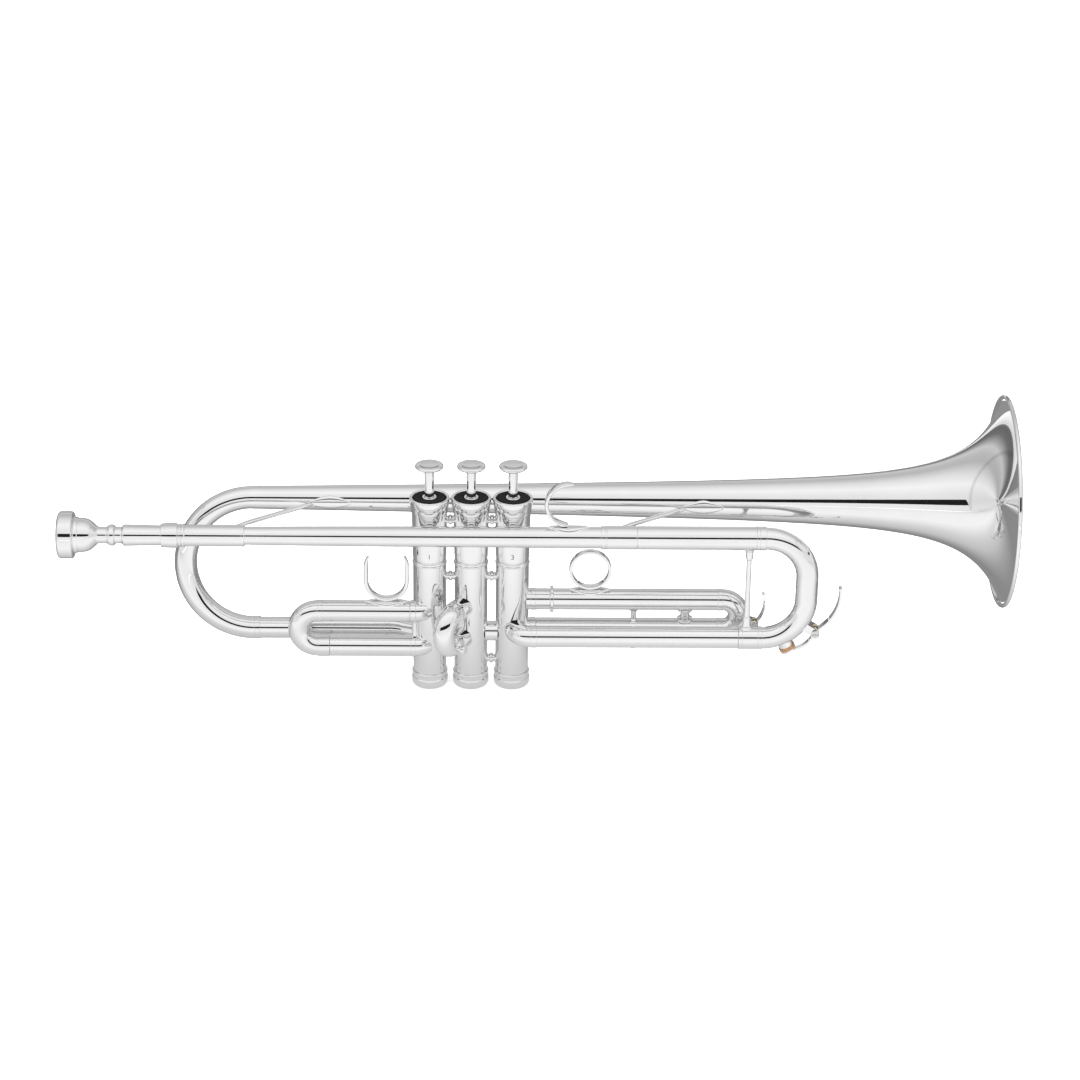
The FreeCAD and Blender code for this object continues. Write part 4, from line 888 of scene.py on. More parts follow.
@dataclass
class Valve:
    """One valve: casing, caps, stem and button."""

    number: int
    bore: float = 8.44
    radius: float = 9.5
    joint: float = 80.1
    top_radius: float = 10.15
    rim: float = 10.35
    cap_radius: float = 11.35
    stem: float = 2.75
    button: float = 8.15

    def build(self) -> list[bpy.types.Object]:
        """Makes the silver pieces of the valve.

        Returns:
            The casing, both caps, the stem and the button.
        """
        box = Extent.of(f"valve_casing_{self.number}")
        at = Vector((box.centre.x, 0.0, 0.0))
        return [self.casing(at, box), self.bottom_cap(at), self.top_cap(at), *self.plunger(at)]

    def casing(self, at: Vector, box: Extent) -> bpy.types.Object:
        """Makes the casing tube with its bead and baluster.

        Args:
            at: Foot of the valve's axis.
            box: Box of the CAD casing.

        Returns:
            The piece.
        """
        joint, low, high = self.joint, box.low.z, box.high.z
        outline = [(low, self.bore), (low, self.radius), (joint - 2.1, self.radius),
                   (joint - 1.9, self.radius + 0.4), (joint - 1.6, self.radius + 0.45),
                   (joint - 1.3, self.radius + 0.4), (joint - 1.0, self.radius),
                   (joint - 0.2, self.radius), (joint, self.radius - 0.35),
                   (joint + 0.25, self.radius - 0.35), (joint + 1.2, self.radius - 0.02),
                   (joint + 3.2, self.radius + 0.15), (joint + 12.0, self.radius + 0.28),
                   (joint + 22.0, self.radius + 0.45), (joint + 30.3, self.top_radius),
                   (high, self.top_radius), (high, self.bore)]
        return Metalwork().turn(outline, at, Z, 128).piece(
            f"Casing_{self.number}", Carrier.HORN, f"valve_casing_{self.number}")

    def bottom_cap(self, at: Vector) -> bpy.types.Object:
        """Makes the rounded screw cap under the casing.

        Args:
            at: Foot of the valve's axis.

        Returns:
            The piece.
        """
        rim, inner = self.rim, self.radius + 0.02
        outline = [(0.0, 0.0), (0.0, rim - 2.6), (0.18, rim - 1.7), (0.7, rim - 0.75),
                   (1.5, rim - 0.18), (2.5, rim), (4.9, rim), (5.5, rim - 0.12), (5.9, rim - 0.5),
                   (6.3, rim - 0.4), (8.0, rim - 0.42), (8.3, rim - 0.16), (8.9, rim - 0.06),
                   (9.35, rim - 0.2), (9.6, rim - 0.45), (9.6, inner), (1.6, inner), (1.6, 0.0)]
        return Metalwork().turn(outline, at, Z, 128, 0.12).piece(
            f"Bottom_cap_{self.number}", Carrier.HORN, f"bottom_cap_{self.number}")

    def top_cap(self, at: Vector) -> bpy.types.Object:
        """Makes the flared screw cap with its felt recess and boss.

        Args:
            at: Foot of the valve's axis.

        Returns:
            The piece.
        """
        low = Extent.of(f"top_cap_{self.number}").low.z
        cap, skirt, hole = self.cap_radius, self.top_radius + 0.02, self.stem + 0.15
        outline = [(low, skirt), (low, cap - 0.72), (low + 0.5, cap - 0.65), (low + 3.0, cap - 0.6),
                   (low + 3.7, cap - 0.45), (low + 4.6, cap - 0.2), (low + 5.4, cap - 0.05),
                   (low + 6.5, cap), (low + 7.6, cap), (low + 8.35, cap - 0.15),
                   (low + 8.7, cap - 0.6), (low + 8.7, cap - 1.2), (low + 8.3, cap - 1.75),
                   (low + 6.7, cap - 2.05), (low + 6.7, 4.35), (low + 8.6, 4.15),
                   (low + 8.9, 3.95), (low + 8.9, hole), (low + 5.1, hole), (low + 5.1, skirt)]
        return Metalwork().turn(outline, at, Z, 128, 0.15).piece(
            f"Top_cap_{self.number}", Carrier.HORN, f"top_cap_{self.number}")

    def plunger(self, at: Vector) -> list[bpy.types.Object]:
        """Makes the stem and its dished finger button.

        Args:
            at: Foot of the valve's axis.

        Returns:
            Both pieces.
        """
        stem_box = Extent.of(f"valve_stem_{self.number}")
        box = Extent.of(f"finger_button_{self.number}")
        low, top, wide = box.low.z, box.high.z, self.button
        stem = Metalwork().turn(
            [(stem_box.low.z, 0.0), (stem_box.low.z, self.stem), (stem_box.high.z, self.stem),
             (stem_box.high.z, 0.0)], at, Z, 48)
        outline = [(low + 1.0, 0.0), (low + 1.0, self.stem), (low, self.stem), (low, 4.9),
                   (low + 0.35, 6.2), (low + 0.9, 7.3), (low + 1.4, wide - 0.25),
                   (low + 1.75, wide - 0.04), (low + 2.05, wide), (low + 2.4, wide - 0.06),
                   (low + 2.8, wide - 0.35), (low + 3.1, wide - 0.85), (top - 0.03, wide - 1.5),
                   (top, 6.2), (top - 0.12, 5.7), (top - 0.4, 4.9), (top - 0.58, 3.6),
                   (top - 0.66, 1.8), (top - 0.7, 0.0)]
        button = Metalwork().turn(outline, at, Z, 96, 0.0)
        made = [stem.piece(f"Stem_{self.number}", Carrier.HORN, f"valve_stem_{self.number}"),
                button.piece(f"Button_{self.number}", Carrier.HORN, f"finger_button_{self.number}")]
        for thing in made:
            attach(thing, f"valve_{self.number}")
        return made


@dataclass
class Felts:
    """Felt rings in the top caps, one piece with rounded edges."""

    outer: float = 9.2
    inner: float = 4.4

    def build(self, wardrobe: Wardrobe) -> bpy.types.Object:
        """Makes the three felt rings.

        Args:
            wardrobe: The finishes.

        Returns:
            The piece.
        """
        box = Extent.of("cap_felts")
        work = Metalwork()
        low, high = box.low.z, box.high.z
        for number in (1, 2, 3):
            at = Vector((Extent.of(f"valve_casing_{number}").centre.x, 0.0, 0.0))
            outline = [(low, self.inner), (low, self.outer), (high - 0.5, self.outer),
                       (high - 0.15, self.outer - 0.15), (high, self.outer - 0.6),
                       (high, self.inner + 0.5), (high - 0.2, self.inner + 0.1)]
            work.turn(outline, at, Z, 96, 0.1)
        made = work.piece("Cap_felts", Carrier.HORN, "cap_felts")
        wardrobe.dress(made, Slot.FELT)
        return made


@dataclass
class ValveSprings:
    """Coil springs, one on each valve guide."""

    wire: float = 0.4
    turns: int = 7
    travel: float = 16.5
    slack: float = 0.4

    def build(self, wardrobe: Wardrobe) -> list[bpy.types.Object]:
        """Makes the three springs, each standing on its valve guide.

        Args:
            wardrobe: The finishes.

        Returns:
            The springs.
        """
        made = []
        for number in (1, 2, 3):
            node = f"valve_spring_{number}"
            box = Extent.of(node)
            tall = box.high.z - box.low.z
            foot = Vector((box.centre.x, box.centre.y, box.low.z + self.wire))
            radius = (box.high.y - box.low.y) / 2 - self.wire
            spring = Metalwork().coil(foot, radius, tall - 2 * self.wire, self.turns, self.wire)
            thing = spring.piece(f"Spring_{number}", Carrier.HORN, node)
            wardrobe.dress(thing, Slot.SPRING)
            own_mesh(thing)
            made.append(thing)
        return made


@dataclass
class BlockFittings:
    """Turned ties and the crossover tubes between the casings."""

    pitch: float = 23.75
    casing: float = 9.5
    tube: float = 5.8
    sink: float = 0.6
    heights: tuple[float, ...] = (16.4, 69.4, 105.0)
    crossovers: tuple[float, float] = (42.0, 34.0)

    def build(self) -> list[bpy.types.Object]:
        """Makes the ties and the crossover tubes.

        Returns:
            Both pieces.
        """
        ties, tubes = Metalwork(), Metalwork()
        gap = self.pitch / 2 - self.casing + self.sink
        centres = (-self.pitch / 2, self.pitch / 2)
        for centre in centres:
            for height in self.heights:
                if centre < 0 and height == min(self.heights):
                    continue
                outline = [(-gap, 0.0), (-gap, 3.0), (-gap + 0.7, 2.5), (-gap + 1.2, 2.2),
                           (-1.1, 2.2), (-0.9, 2.6), (-0.5, 2.9), (0.0, 3.0), (0.5, 2.9),
                           (0.9, 2.6), (1.1, 2.2), (gap - 1.2, 2.2), (gap - 0.7, 2.5),
                           (gap, 3.0), (gap, 0.0)]
                ties.turn(outline, Vector((centre, 0.0, height)), X, 64, 0.1)
        for centre, height in zip(centres, self.crossovers):
            reach = gap + self.sink
            outline = [(-reach, self.tube - WALL), (-reach, self.tube), (reach, self.tube),
                       (reach, self.tube - WALL)]
            tubes.turn(outline, Vector((centre, 0.0, height)), X, 72)
        return [ties.piece("Casing_ties", Carrier.HORN, "casing_ties"),
                tubes.piece("Crossovers", Carrier.HORN, "crossover_tubes")]


# --- leadpipe, mouthpiece and bell ------------------------------------------------------


@dataclass
class Leadpipe:
    """Tapered leadpipe with its ferrule and receiver."""

    stations: tuple[tuple[float, float], ...] = ((0.0, 4.85), (29.0, 5.25), (52.0, 5.5),
                                                 (108.0, 5.85), (198.0, 6.15), (306.0, 6.15))
    ferrule: float = 6.75
    bulb: float = 7.1
    neck: float = 6.1

    def build(self) -> list[bpy.types.Object]:
        """Makes the pipe, the ferrule and the receiver.

        Returns:
            The three pieces.
        """
        box = Extent.of("leadpipe")
        at = Vector((0.0, box.centre.y, box.centre.z))
        outer = [(box.low.x + a, r) for a, r in self.stations]
        pipe = Metalwork().turn(outer + [(a, r - WALL) for a, r in reversed(outer)], at, X)
        return [pipe.piece("Leadpipe", Carrier.HORN, "leadpipe"), self.sleeve(at),
                self.receiver(at)]

    def sleeve(self, at: Vector) -> bpy.types.Object:
        """Makes the ferrule with its two cut lines.

        Args:
            at: A point on the pipe's axis.

        Returns:
            The piece.
        """
        box = Extent.of("leadpipe_ferrule")
        start, end, wide = box.low.x, box.high.x, self.ferrule
        outline = [(start, wide - 0.58), (start, wide - 0.2), (start + 0.4, wide)]
        for line in (start + 2.1, start + 3.2):
            outline += [(line - 0.22, wide), (line, wide - 0.22), (line + 0.22, wide)]
        outline += [(end - 0.4, wide), (end, wide - 0.2), (end, wide - 0.58)]
        return Metalwork().turn(outline, at, X, 96, 0.12).piece(
            "Leadpipe_ferrule", Carrier.HORN, "leadpipe_ferrule")

    def receiver(self, at: Vector) -> bpy.types.Object:
        """Makes the receiver with its bulb and beads.

        Args:
            at: A point on the pipe's axis.

        Returns:
            The piece.
        """
        box = Extent.of("mouthpiece_receiver")
        s, e, bulb, neck = box.low.x, box.high.x, self.bulb, self.neck
        outline = [(s, 5.7), (s, bulb - 0.6), (s + 0.3, bulb - 0.35), (s + 3.0, bulb - 0.15),
                   (s + 6.0, bulb - 0.04), (s + 8.2, bulb), (s + 9.2, bulb - 0.12),
                   (s + 9.6, bulb - 0.9), (s + 9.9, bulb - 0.9), (s + 10.2, bulb - 0.35),
                   (s + 10.6, bulb - 0.2), (s + 11.1, bulb - 0.35), (s + 11.4, bulb - 0.9),
                   (s + 11.8, bulb - 0.9), (s + 12.1, bulb - 0.4), (s + 12.9, bulb - 0.4),
                   (s + 13.3, bulb - 0.7), (s + 13.8, neck), (e - 1.7, neck),
                   (e - 1.4, neck + 0.15), (e - 0.4, neck + 0.15), (e, neck - 0.15),
                   (e, 5.2), (e - 12.4, 5.0),
                   (e - 20.4, 4.9), (e - 20.4, 4.35), (e - 21.4, 4.35), (e - 21.4, 5.0)]
        return Metalwork().turn(outline, at, X, 96, 0.12).piece(
            "Receiver", Carrier.HORN, "mouthpiece_receiver")


@dataclass
class Mouthpiece:
    """Turned mouthpiece with rim, cup and shank."""

    rim: float = 13.4
    cup: float = 8.4
    throat: float = 1.85
    shank: float = 5.65
    tip: float = 4.95

    def build(self) -> bpy.types.Object:
        """Makes the mouthpiece from one closed outline.

        Returns:
            The piece.
        """
        box = Extent.of("mouthpiece")
        at = Vector((0.0, box.centre.y, box.centre.z))
        f, end, rim, cup = box.low.x, box.high.x, self.rim, self.cup
        outline = [(f + 1.6, cup), (f + 0.95, cup + 0.35), (f + 0.45, cup + 0.95),
                   (f + 0.12, cup + 1.7), (f, cup + 2.5), (f + 0.12, cup + 3.3),
                   (f + 0.45, rim - 0.95),
                   (f + 0.95, rim - 0.42), (f + 1.55, rim - 0.1), (f + 2.2, rim), (f + 7.9, rim),
                   (f + 8.6, rim - 0.2), (f + 9.1, rim - 0.8), (f + 9.4, rim - 2.8),
                   (f + 9.9, 10.3), (f + 11.3, 10.1), (f + 11.9, 9.7), (f + 12.4, 9.75),
                   (f + 13.4, 9.75), (f + 15.2, 9.6), (f + 16.8, 9.2), (f + 18.3, 8.5),
                   (f + 19.7, 7.5), (f + 20.9, 6.4), (f + 21.9, 5.4), (f + 22.7, 4.85),
                   (f + 23.6, 4.65), (f + 26.8, 4.65), (f + 27.8, 4.95), (f + 28.6, 5.6),
                   (f + 29.4, 6.0), (f + 30.6, 6.15), (f + 31.6, 5.9), (f + 32.4, 5.0),
                   (f + 33.2, 4.7), (f + 35.4, 4.7), (f + 36.2, 5.0), (f + 36.8, 5.75),
                   (f + 37.4, 6.09), (f + 58.0, self.shank), (end, self.tip), (end, 4.1),
                   (f + 25.5, self.throat), (f + 13.5, self.throat), (f + 12.4, 2.2),
                   (f + 10.9, 3.4), (f + 9.6, 4.9), (f + 7.6, 6.8), (f + 5.0, 7.95),
                   (f + 3.0, 8.3)]
        return Metalwork().turn(outline, at, X, 128, 0.12).piece(
            "Mouthpiece", Carrier.MOUTHPIECE, "mouthpiece")


@dataclass
class Bell:
    """Flare, rolled rim and the bow that leads to the first valve."""

    throat: float = 6.22
    taper: float = 0.0122
    offset: float = 36.38
    power: float = 1.883
    rim: float = 61.5
    wire: float = 1.3
    wall: float = 0.55
    tail: float = 6.2
    tail_y: float = 9.0
    tail_z: float = 30.9
    tail_bend: float = 22.0
    tail_angle: float = 25.0
    tail_run: float = 7.0
    ferrule_x: float = 23.25
    ferrule: float = 3.4
    sides: int = 192
    stations: int = 110
    crowding: float = 2.2

    def radius(self, along: float, length: float) -> float:
        """Outer radius at a distance along the flare.

        Args:
            along: Distance from the small end.
            length: Length of the flare with its rim.

        Returns:
            The radius.
        """
        rise = self.rim - self.throat - self.taper * length
        share = (self.offset / (length - along + self.offset)) ** self.power
        return self.throat + self.taper * along + rise * share

    def build(self) -> list[bpy.types.Object]:
        """Makes the flare, its rim wire and the bow.

        Returns:
            The three pieces.
        """
        box = Extent.of("bell_flare")
        at = Vector((box.low.x, box.centre.y, box.centre.z))
        length = Extent.of("bell_rim_wire").high.x - box.low.x
        last = length - self.wire
        outer, inner = [], []
        for step in range(self.stations + 1):
            along = last * (1 - (1 - step / self.stations) ** self.crowding)
            radius = self.radius(along, length)
            slope = (self.radius(along + 0.01, length) - self.radius(along - 0.01, length)) / 0.02
            lean = math.atan(slope) if step else 0.0
            outer.append((along, radius))
            inner.append((along + self.wall * math.sin(lean), radius - self.wall * math.cos(lean)))
        cut = [p for p in inner if p[0] < last]
        flare = Metalwork().turn(outer + cut[::-1], at, X, self.sides, 0.0)
        wire = Metalwork()
        ring = [(last + self.wire * math.cos(t), self.rim - self.wire + self.wire * math.sin(t))
                for t in (2 * math.pi * i / 24 for i in range(24))]
        wire.turn(ring, at, X, self.sides, 0.0)
        return [flare.piece("Bell_flare", Carrier.HORN, "bell_flare"),
                wire.piece("Bell_rim", Carrier.HORN, "bell_rim_wire"), self.bow(at)]

    def bow(self, top: Vector) -> bpy.types.Object:
        """Makes the half-circle bow, the ferrule and the tail.

        Args:
            top: Middle of the flare's small end.

        Returns:
            The piece.
        """
        drop = Vector((0.0, self.tail_y - top.y, self.tail_z - top.z))
        axis = (-X).cross(drop).normalized()
        work = Metalwork()
        work.tube(top, -X, [("bend", drop.length / 2, 180, axis)], self.throat + 0.3)
        foot = top + drop
        ferrule = Extent.of("valve_casing_1").centre.x - self.ferrule_x
        steps = [("run", ferrule - foot.x), ("bend", self.tail_bend, self.tail_angle, -Z),
                 ("run", self.tail_run)]
        work.tube(foot, X, steps, self.tail)
        back = -self.ferrule
        collar = [(back, self.tail - 0.4), (back, self.tail + 0.1), (back + 0.2, self.tail + 0.25),
                  (-0.2, self.tail + 0.25), (0.0, self.tail + 0.1), (0.0, self.tail - 0.4)]
        work.turn(collar, Vector((ferrule, foot.y, foot.z)), X, 72, 0.08)
        work.turn([(a + self.ferrule + 0.1, r + 0.15) for a, r in collar], foot, X, 72, 0.08)
        return work.piece("Bell_bow", Carrier.HORN, "bell_bow")


# --- main tuning slide ------------------------------------------------------------------


@dataclass
class MainSlide:
    """Tuning slide: bow, both legs, ferrules, brace and the fixed sleeve."""

    tube: float = 6.7
    bow: float = 6.35
    bend: float = 24.5
    sleeve: float = 6.15
    leg: float = 5.6
    ferrule: float = 5.6
    step: float = 0.2
    bow_x: float = 167.0
    leg_start: float = 84.0
    sleeve_end: float = 153.0
    entry_x: float = 1.75
    entry_bend: float = 9.0
    entry_run: float = 4.0
    brace_x: float = 157.9

    def build(self) -> list[bpy.types.Object]:
        """Makes the sleeve, the sliding tubes and the brace.

        Returns:
            The three pieces.
        """
        pipe = Extent.of("leadpipe")
        low_z = Extent.of("main_slide_sleeve").low.z + self.sleeve
        top = Vector((self.bow_x, pipe.centre.y, pipe.centre.z))
        low = Vector((self.bow_x, pipe.centre.y, low_z))
        return [self.fixed(low), self.sliding(top, low), self.brace(top, low)]

    def fixed(self, low: Vector) -> bpy.types.Object:
        """Makes the lower sleeve that bends into the third casing.

        Args:
            low: Where the lower leg meets the bow.

        Returns:
            The piece.
        """
        entry = Extent.of("valve_casing_3").centre.x + self.entry_x
        start = Vector((self.sleeve_end, low.y, low.z))
        work = Metalwork()
        run = self.sleeve_end - entry - self.entry_bend
        steps = [("run", run), ("bend", self.entry_bend, 90, -Z), ("run", self.entry_run)]
        work.tube(start, -X, steps, self.sleeve)
        ring = [(0.0, 5.7), (0.0, 6.2), (0.2, 6.35), (3.0, 6.35), (3.2, 6.2), (3.2, 5.7)]
        work.turn(ring, Vector((entry + self.entry_bend, low.y, low.z)), X, 72, 0.08)
        return work.piece("Main_sleeve", Carrier.HORN, "main_slide_sleeve")

    def sliding(self, top: Vector, low: Vector) -> bpy.types.Object:
        """Makes the sliding bow with its tubes and ferrules.

        Args:
            top: Where the upper leg meets the bow.
            low: Where the lower leg meets the bow.

        Returns:
            The piece.
        """
        work = Metalwork()
        drop = top.z - low.z - 2 * self.bend
        work.tube(top, X, [("bend", self.bend, 90, Y), ("run", drop), ("bend", self.bend, 90, Y)],
                  self.bow)
        start = Extent.of("main_slide_tubes").low.x
        at_top, at_low = Vector((0.0, top.y, top.z)), Vector((0.0, low.y, low.z))
        begin = Extent.of("leadpipe_ferrule").high.x + RUNNING_GAP
        a = self.bow_x - self.ferrule
        work.turn([(begin, 6.2), (begin, self.tube), (a, self.tube), (a, 6.2)], at_top, X)
        wide = self.tube + self.step
        work.turn([(a, 5.85), (a, wide - 0.15), (a + 0.2, wide), (a + 1.7, wide),
                   (a + 1.9, wide - 0.2), (a + 2.1, wide), (a + 5.4, wide), (a + 5.6, wide - 0.2),
                   (a + 5.6, 5.85)], at_top, X, 96, 0.08)
        b = self.sleeve_end + RUNNING_GAP
        wide = self.bow + self.step
        work.turn([(b, 5.2), (b, wide - 0.15), (b + 0.2, wide), (b + 2.0, wide),
                   (b + 2.2, wide - 0.2), (b + 2.4, wide), (self.bow_x - 2.6, wide),
                   (self.bow_x - 2.4, wide - 0.2), (self.bow_x - 2.2, wide),
                   (self.bow_x - 0.2, wide), (self.bow_x, wide - 0.15), (self.bow_x, 5.2)],
                  at_low, X, 96, 0.08)
        tip, bore = max(start, self.leg_start), self.leg - WALL
        work.turn([(tip, bore), (tip, self.leg), (b, self.leg), (b, bore)], at_low, X)
        return work.piece("Main_slide", Carrier.MAIN_SLIDE, "main_slide_tubes")

    def brace(self, top: Vector, low: Vector) -> bpy.types.Object:
        """Makes the turned post between the legs.

        Args:
            top: Where the upper leg meets the bow.
            low: Where the lower leg meets the bow.

        Returns:
            The piece.
        """
        bottom, high = low.z + self.bow - 0.5, top.z - self.tube + 0.6
        outline = [(bottom, 0.0), (bottom, 3.6), (bottom + 1.4, 3.6), (bottom + 1.8, 3.3),
                   (bottom + 2.1, 2.6), (bottom + 3.0, 2.45), (bottom + 7.2, 2.3),
                   (bottom + 7.8, 2.15), (bottom + 8.2, 1.75), (bottom + 20.0, 1.5),
                   (high - 7.2, 1.45), (high - 6.9, 1.7), (high - 6.4, 2.2), (high - 2.0, 2.35),
                   (high - 1.0, 2.7), (high, 3.2), (high, 0.0)]
        at = Vector((self.brace_x, low.y, 0.0))
        return Metalwork().turn(outline, at, Z, 64, 0.15).piece(
            "Main_brace", Carrier.MAIN_SLIDE, "main_slide_brace")


# --- valve slides -----------------------------------------------------------------------


@dataclass
class FirstSlide:
    """First valve slide: fixed tubes, sliding tubes and thumb saddle."""

    tube: float = 6.15
    leg: float = 5.6
    bow: float = 6.1
    step: float = 0.2
    sleeve_wall: float = 1.05
    elbow: float = 8.0
    elbow_turn: float = 48.0
    knuckle: float = 11.05
    low_end: float = 57.25
    bow_start: float = 64.25
    leg_length: float = 35.7
    tie_x: float = 2.6
    saddle: float = 11.7
    saddle_rise: float = 8.5
    saddle_x: float = 24.55
    saddle_strip: tuple[float, float] = (5.0, 2.5)
    tip_bend: float = 16.0
    tip_angle: float = 24.0
    tip_points: int = 5

    def build(self) -> list[bpy.types.Object]:
        """Makes the fixed tubes, the sliding tubes and the saddle.

        Returns:
            The three pieces.
        """
        box = Extent.of("first_slide_tubes")
        y = box.centre.y
        up, low = box.high.z - self.tube - self.step, box.low.z + self.tube + self.step
        casing = Extent.of("valve_casing_1").centre.x
        knuckle, bow = casing - self.knuckle, casing - self.bow_start
        low_end = casing - self.low_end
        return [self.sleeves(casing, y, (up, low), knuckle, low_end, bow),
                self.sliding(y, (up, low), knuckle, low_end, bow),
                self.thumb(casing - self.saddle_x, y, up)]

    def collar(self, work: Metalwork, start: float, length: float, y: float, z: float) -> None:
        """Adds a thin ferrule round a tube.

        Args:
            work: Piece that takes the ferrule.
            start: X where it starts.
            length: Its length.
            y: Y of the tube.
            z: Z of the tube.
        """
        wide = self.tube + self.step
        work.turn([(start, 5.7), (start, wide - 0.15), (start + 0.18, wide),
                   (start + length - 0.18, wide), (start + length, wide - 0.15),
                   (start + length, 5.7)], Vector((0.0, y, z)), X, 72, 0.06)

    def sleeves(self, casing: float, y: float, heights: tuple[float, float], knuckle: float,
                low_end: float, bow: float) -> bpy.types.Object:
        """Makes the tubes that stay on the casing, with their tie.

        Args:
            casing: X of the first casing.
            y: Y of both tubes.
            heights: Z of the upper and lower tube.
            knuckle: X where the upper sleeve ends.
            low_end: X where the lower sleeve ends.
            bow: X where the bow starts.

        Returns:
            The piece.
        """
        work = Metalwork()
        up, low = heights
        for z, end in ((up, knuckle), (low, low_end)):
            run = casing - self.elbow - end
            steps = [("run", run), ("bend", self.elbow, self.elbow_turn, Z)]
            work.tube(Vector((end, y, z)), X, steps, self.tube, self.sleeve_wall)
            self.collar(work, knuckle, 3.2, y, z)
        bore = self.leg - WALL
        work.turn([(bow + 4.0, bore), (bow + 4.0, self.leg), (knuckle + 1.0, self.leg),
                   (knuckle + 1.0, bore)], Vector((0.0, y, up)), X, 72)
        roof, ceiling = low + self.tube, up - self.tube
        tie = [(roof - 0.8, 0.0), (roof - 0.8, 2.6), (roof + 0.9, 1.8), (ceiling - 0.9, 1.8),
               (ceiling + 0.8, 2.6), (ceiling + 0.8, 0.0)]
        work.turn(tie, Vector((knuckle + self.tie_x, y, 0.0)), Z, 48, 0.3)
        return work.piece("First_sleeves", Carrier.HORN, "first_slide_sleeves")

    def sliding(self, y: float, heights: tuple[float, float], knuckle: float, low_end: float,
                bow: float) -> bpy.types.Object:
        """Makes the sliding tubes and their bow.

        Args:
            y: Y of both tubes.
            heights: Z of the upper and lower tube.
            knuckle: X of the fixed knuckle.
            low_end: X where the lower sleeve ends.
            bow: X where the bow starts.

        Returns:
            The piece.
        """
        work = Metalwork()
        up, low = heights
        start, bore = knuckle - RUNNING_GAP, self.tube - WALL
        work.turn([(bow, bore), (bow, self.tube), (start, self.tube), (start, bore)],
                  Vector((0.0, y, up)), X, 72)
        self.collar(work, bow, 2.8, y, up)
        begin, tip, inner = low_end - RUNNING_GAP, low_end + self.leg_length, self.leg - WALL
        self.collar(work, bow, begin - bow, y, low)
        work.turn([(begin, inner), (begin, self.leg), (tip, self.leg), (tip, inner)],
                  Vector((0.0, y, low)), X, 72)
        work.tube(Vector((bow, y, up)), -X, [("bend", (up - low) / 2, 180, -Y)], self.bow)
        return work.piece("First_slide", Carrier.FIRST_SLIDE, "first_slide_tubes")

    def thumb(self, x: float, y: float, up: float) -> bpy.types.Object:
        """Makes the open saddle with its leaf foot.

        Args:
            x: X of the saddle's middle.
            y: Y of the tube.
            up: Z of the upper tube.

        Returns:
            The piece.
        """
        work = Metalwork()
        base = up + self.tube + 0.8
        centre = Vector((x, y, base + 1.1 + self.saddle))
        left = Vector((x - self.saddle, y, centre.z))
        path = [left + Z * self.saddle_rise] + arc(centre, left, -Y, 180, 33)
        right = path[-1]
        path.append(right + Z * self.saddle_rise)
        lean = []
        for share in range(1, self.tip_points + 1):
            angle = math.radians(self.tip_angle) * share / self.tip_points
            lean.append((self.tip_bend * (1 - math.cos(angle)), self.tip_bend * math.sin(angle)))
        head = [left + Z * (self.saddle_rise + rise) + X * run for run, rise in reversed(lean)]
        tail = [right + Z * (self.saddle_rise + rise) - X * run for run, rise in lean]
        work.strip(head + path + tail, Y, *self.saddle_strip)
        work.foot(Vector((x, y, up)), X, Z, self.tube, (26.0, 9.0, 1.0))
        return work.piece("Thumb_saddle", Carrier.FIRST_SLIDE, "thumb_saddle")


@dataclass
class SecondSlide:
    """Short second slide with its pull knob."""

    angle: float = 32.0
    tube: float = 6.15
    leg: float = 5.6
    root: float = 8.0
    leg_tip: float = 10.5
    sleeve: float = 17.6
    bow: float = 19.2
    bead: float = 0.15
    heights: tuple[float, float] = (53.0, 33.0)

    def build(self) -> list[bpy.types.Object]:
        """Makes the sleeves and the sliding bow.

        Returns:
            Both pieces.
        """
        turn = math.radians(self.angle)
        out = Vector((-math.sin(turn), -math.cos(turn), 0.0))
        fixed, moving = Metalwork(), Metalwork()
        start, tip, wide = self.sleeve + RUNNING_GAP, self.leg_tip, self.tube + self.bead
        bore, inner = self.tube - WALL, self.leg - WALL
        for z in self.heights:
            at = Vector((0.0, 0.0, z))
            fixed.turn([(self.root, bore), (self.root, self.tube), (self.sleeve - 2.6, self.tube),
                        (self.sleeve - 2.5, wide), (self.sleeve, wide), (self.sleeve, bore)],
                       at, out, 72, 0.08)
            moving.turn([(start, inner), (start, wide), (self.bow, wide), (self.bow, inner)],
                        at, out, 72, 0.1)
            moving.turn([(tip, inner), (tip, self.leg), (start, self.leg), (start, inner)],
                        at, out, 72)
        high, low = self.heights
        moving.tube(Vector((0.0, 0.0, high)) + out * self.bow, out,
                    [("bend", (high - low) / 2, 180, -out.cross(Z))], self.tube)
        aside = Vector((math.cos(turn), -math.sin(turn), 0.0))
        root = out * (self.bow + 3.2) + Vector((0.0, 0.0, low + 0.6))
        knob = [(5.75, 0.0), (5.75, 1.5), (7.3, 1.35), (7.7, 1.8), (8.0, 2.6), (9.9, 2.7),
                (10.4, 2.45), (10.7, 1.7), (10.75, 0.0)]
        moving.turn(knob, root, aside, 48, 0.15)
        return [fixed.piece("Second_sleeves", Carrier.HORN, "second_slide_sleeves"),
                moving.piece("Second_slide", Carrier.SECOND_SLIDE, "second_slide_tubes")]


